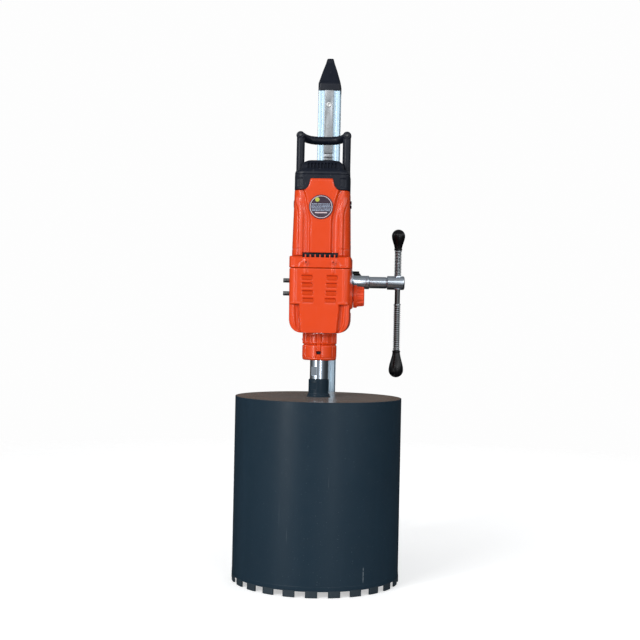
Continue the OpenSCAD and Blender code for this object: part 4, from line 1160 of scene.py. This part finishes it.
def wheel(side):
    node = "wheel_" + side
    low, high = box(node)
    at, r, half = (low + high) / 2, (high[2] - low[2]) / 2, (high[0] - low[0]) / 2
    spot = place(at, "x")
    shoulder = [(r - 11.5, half - 4.0), (r - 10.5, half - 1.4), (r - 7.5, half - 0.2), (r - 4.0, half - 1.2),
                (r - 1.8, half - 3.4), (r - 0.7, half - 5.2), (r - 0.25, half - 7.2), (r, 1.9),
                (r - 1.5, 1.5)]
    v, f = spin(fillet(shoulder + [(q, -z) for q, z in shoulder[::-1]], 0.7, 2), 240)
    ang, rad = np.arctan2(v[:, 1], v[:, 0]), np.hypot(v[:, 0], v[:, 1])
    lean = np.abs(v[:, 2]) / half * 0.10 + np.sign(v[:, 2]) * math.pi / TREADS / 2
    wave = 0.5 + 0.5 * np.cos((ang + lean) * TREADS)
    cut = 1.7 * smooth(wave, 0.72, 0.9) * smooth(rad, r - 4.6, r - 3.2)
    v[:, :2] *= ((rad - cut) / rad)[:, None]
    Soup().add(v, f, spot).cover(node, 34)
    r -= 11.3
    rim = fillet([(r, half - 4.2), (r - 3.6, half - 3.6), (r - 4.4, half - 8.0), (r - 4.4, -half + 8.0),
                  (r - 3.6, -half + 3.6), (r, -half + 4.2), (r + 0.9, 0), (r, half - 4.2)], 0.8, 2)
    hub = fillet([(6.25, half - 0.4), (9.6, half - 0.2), (11.0, half - 1.6), (11.8, 0), (11.0, -half + 1.6),
                  (9.6, -half + 0.2), (6.25, -half + 0.4), (6.25, half - 0.4)], 0.5, 2)
    s = Soup().add(*spin(rim, 96), spot).add(*spin(hub, 72), spot)
    v, f = prism([(10.6, -5.2), (r - 3.9, -3.6), (r - 3.9, 3.6), (10.6, 5.2)], -4.4, 4.4)
    for k in range(SPOKES):
        s.add(turned(v, 2 * math.pi * k / SPOKES), f, spot)
    add_bevel(s.build("rim_" + side, node, "wheel_rubber", "rim_plastic", smooth=34), 2)


# --------------- parts that keep their CAD shape
EASED = {                                  # how wide each part's edges are broken, in millimetres
    "base_plate": 0.9, "column_bracket": 0.9, "stand_bolts": 0.35, "column": 0.4, "rack": 0.2,
    "rack_screws": 0.25, "brace": 0.8, "brace_lugs": 0.9, "jam_nuts": 0.5, "wheel_axle": 0.5,
    **{"level_screw_" + corner: 0.35 for corner in ("fl", "fr", "rl", "rr")}, "carriage_body": 1.0,
    "gib_screws": 0.25, "mount_spacer": 0.8, "spacer_bolts": 0.35, "housing_screws": 0.25, "cable_gland": 0.5,
    "bubble_level": 0.4, "power_switch": 0.5, "water_valve": 0.4, "valve_lever": 0.6, "lock_lever": 0.0,
}
OWN_FINISH = {"housing_screws": "orange_paint", "gib_screws": "screw_thread"}


def kept_parts():
    for node, bevel in EASED.items():
        refine(node, bevel, OWN_FINISH.get(node))


def inner_parts():
    """Every CAD node that still shows, or shows only when another is hidden, gets its own finish."""
    for node, ob in frame["nodes"].items():
        if not ob.material_slots:
            ob.data.materials.append(None)
        for held in ob.material_slots:
            held.material = MAT[SLOT[node]]


# --------------- stage
def stage():
    """Pale round floor that fades into the backdrop past the object."""
    me = bpy.data.meshes.new("floor")
    corners = np.array([(-1, -1, 0), (1, -1, 0), (1, 1, 0), (-1, 1, 0)]) * FLOOR_FADE[1]
    me.from_pydata(corners.tolist(), [], [(0, 1, 2, 3)])
    m = material("floor")
    speckle = m.mix(m.noise(3, 2), (0.78, 0.78, 0.78), (0.80, 0.80, 0.80))
    m.set(Base_Color=speckle, Roughness=0.9, Specular_IOR_Level=0.1,
          Emission_Color=(1.0, 1.0, 1.0), Emission_Strength=FLOOR_GLOW)
    away = m.new("VectorMath", i0=m.coord)
    away.operation = "LENGTH"
    clear = m.new("BsdfTransparent")
    blend = m.new("MixShader", i0=m.ramp(away.outputs["Value"], *FLOOR_FADE), i1=m.bsdf.outputs[0],
                  i2=clear.outputs[0])
    m.put(m.tree.nodes["Material Output"], "Surface", blend.outputs[0])
    me.materials.append(m.owner)
    floor = bpy.data.objects.new("floor", me)
    floor.location.z = -0.0005
    bpy.context.scene.collection.objects.link(floor)
    floor.visible_glossy = False


# Brightness round the room, by degrees from the camera's side towards +X.
ROOM = ((-180, 0.05), (-137, 0.05), (-110, 0.10), (-90, 0.20), (-73, 0.36), (-58, 0.65), (-44, 1.70),
        (-30, 1.35), (-17, 0.25), (-4, 0.30), (9, 1.0), (22, 1.25), (35, 0.9), (49, 0.26), (64, 0.16),
        (80, 0.09), (98, 0.06), (120, 0.05), (180, 0.05))
HIGH_BAND = 2.6                          # windows, about 13 to 30 degrees up
CEILING = 0.30
ROOM_GAIN = 0.75
BACKDROP = 0.985
FLOOR_FADE = (0.7, 2.6)
FLOOR_GLOW = 0.50


def world():
    """White where the camera looks past the object; to the object, a room of bright bands."""
    w = bpy.data.worlds.new("studio")
    bpy.context.scene.world = w
    m = Nodes(w, "Generated")
    way = m.new("SeparateXYZ", Vector=m.coord).outputs
    turn = m.math("ARCTAN2", way[0], m.times(way[1], -1.0))
    round_room = m.new("ValToRGB", Fac=m.ramp(turn, -math.pi, math.pi))
    stops = round_room.color_ramp.elements
    while len(stops) < len(ROOM):
        stops.new(0.5)
    for stop, (degrees, value) in zip(stops, ROOM):
        stop.position = 0.5 + degrees / 360
        stop.color = (value, value * 1.02, value * 1.06, 1)
    rise = m.ramp(way[2], 0.18, 0.28)
    fall = m.ramp(way[2], 0.44, 0.56, 1.0, 0.0)
    side = m.ramp(way[1], -0.1, 0.6, 1.0, 0.12)
    band = m.times(m.times(rise, fall), m.times(side, HIGH_BAND))
    roof = m.times(m.ramp(way[2], 0.55, 0.68), CEILING)
    ground = m.ramp(way[2], -0.45, -0.05, 0.12, 1.0)
    under = m.math("SUBTRACT", 1.0, m.times(rise, 0.8))
    low = m.times(ground, m.times(round_room.outputs[0], under))
    level = m.times(ROOM_GAIN, m.math("ADD", low, m.math("ADD", band, roof)))
    room = m.new("Background", Color=(0.95, 0.98, 1.0, 1), Strength=level)
    seen = m.new("Background", Color=(1, 1, 1, 1), Strength=BACKDROP)
    straight = m.new("LightPath").outputs["Is Camera Ray"]
    mix = m.new("MixShader", i0=straight, i1=room.outputs[0], i2=seen.outputs[0])
    m.put(m.tree.nodes["World Output"], "Surface", mix.outputs[0])


def lamp(name, at, target, size, power, glossy=True):
    data = bpy.data.lights.new(name, "AREA")
    data.shape = "RECTANGLE"
    data.size, data.size_y = size
    data.energy = power
    ob = bpy.data.objects.new(name, data)
    ob.visible_glossy = glossy
    ob.location = at
    aim = Vector(target) - Vector(at)
    ob.rotation_euler = aim.to_track_quat("-Z", "Y").to_euler()
    bpy.context.scene.collection.objects.link(ob)


# --------------- the rig
inner_parts()
kept_parts()
orange_castings()
motor_housing()
top_cap()
carry_handle()
badge()
neck()
core_bit()
spindle()
column_cap()
feed_drive()
bar()
selector()
brush_caps()
for side in ("left", "right"):
    wheel(side)

stage()
world()
lamp("key", (-1.7, -2.9, 2.2), (0, -0.2, 0.5), (1.2, 1.2), 44)
lamp("fill", (2.4, -2.0, 1.5), (0, -0.2, 0.5), (1.5, 1.8), 9)
lamp("back", (0.4, 2.6, 2.4), (0, 0, 0.6), (1.8, 1.0), 26, False)
lamp("strip_left", (-1.75, -2.45, 0.95), (0, -0.24, 0.75), (0.22, 1.7), 14)
lamp("strip_right", (1.15, -2.85, 0.95), (0, -0.24, 0.75), (0.16, 1.7), 7)
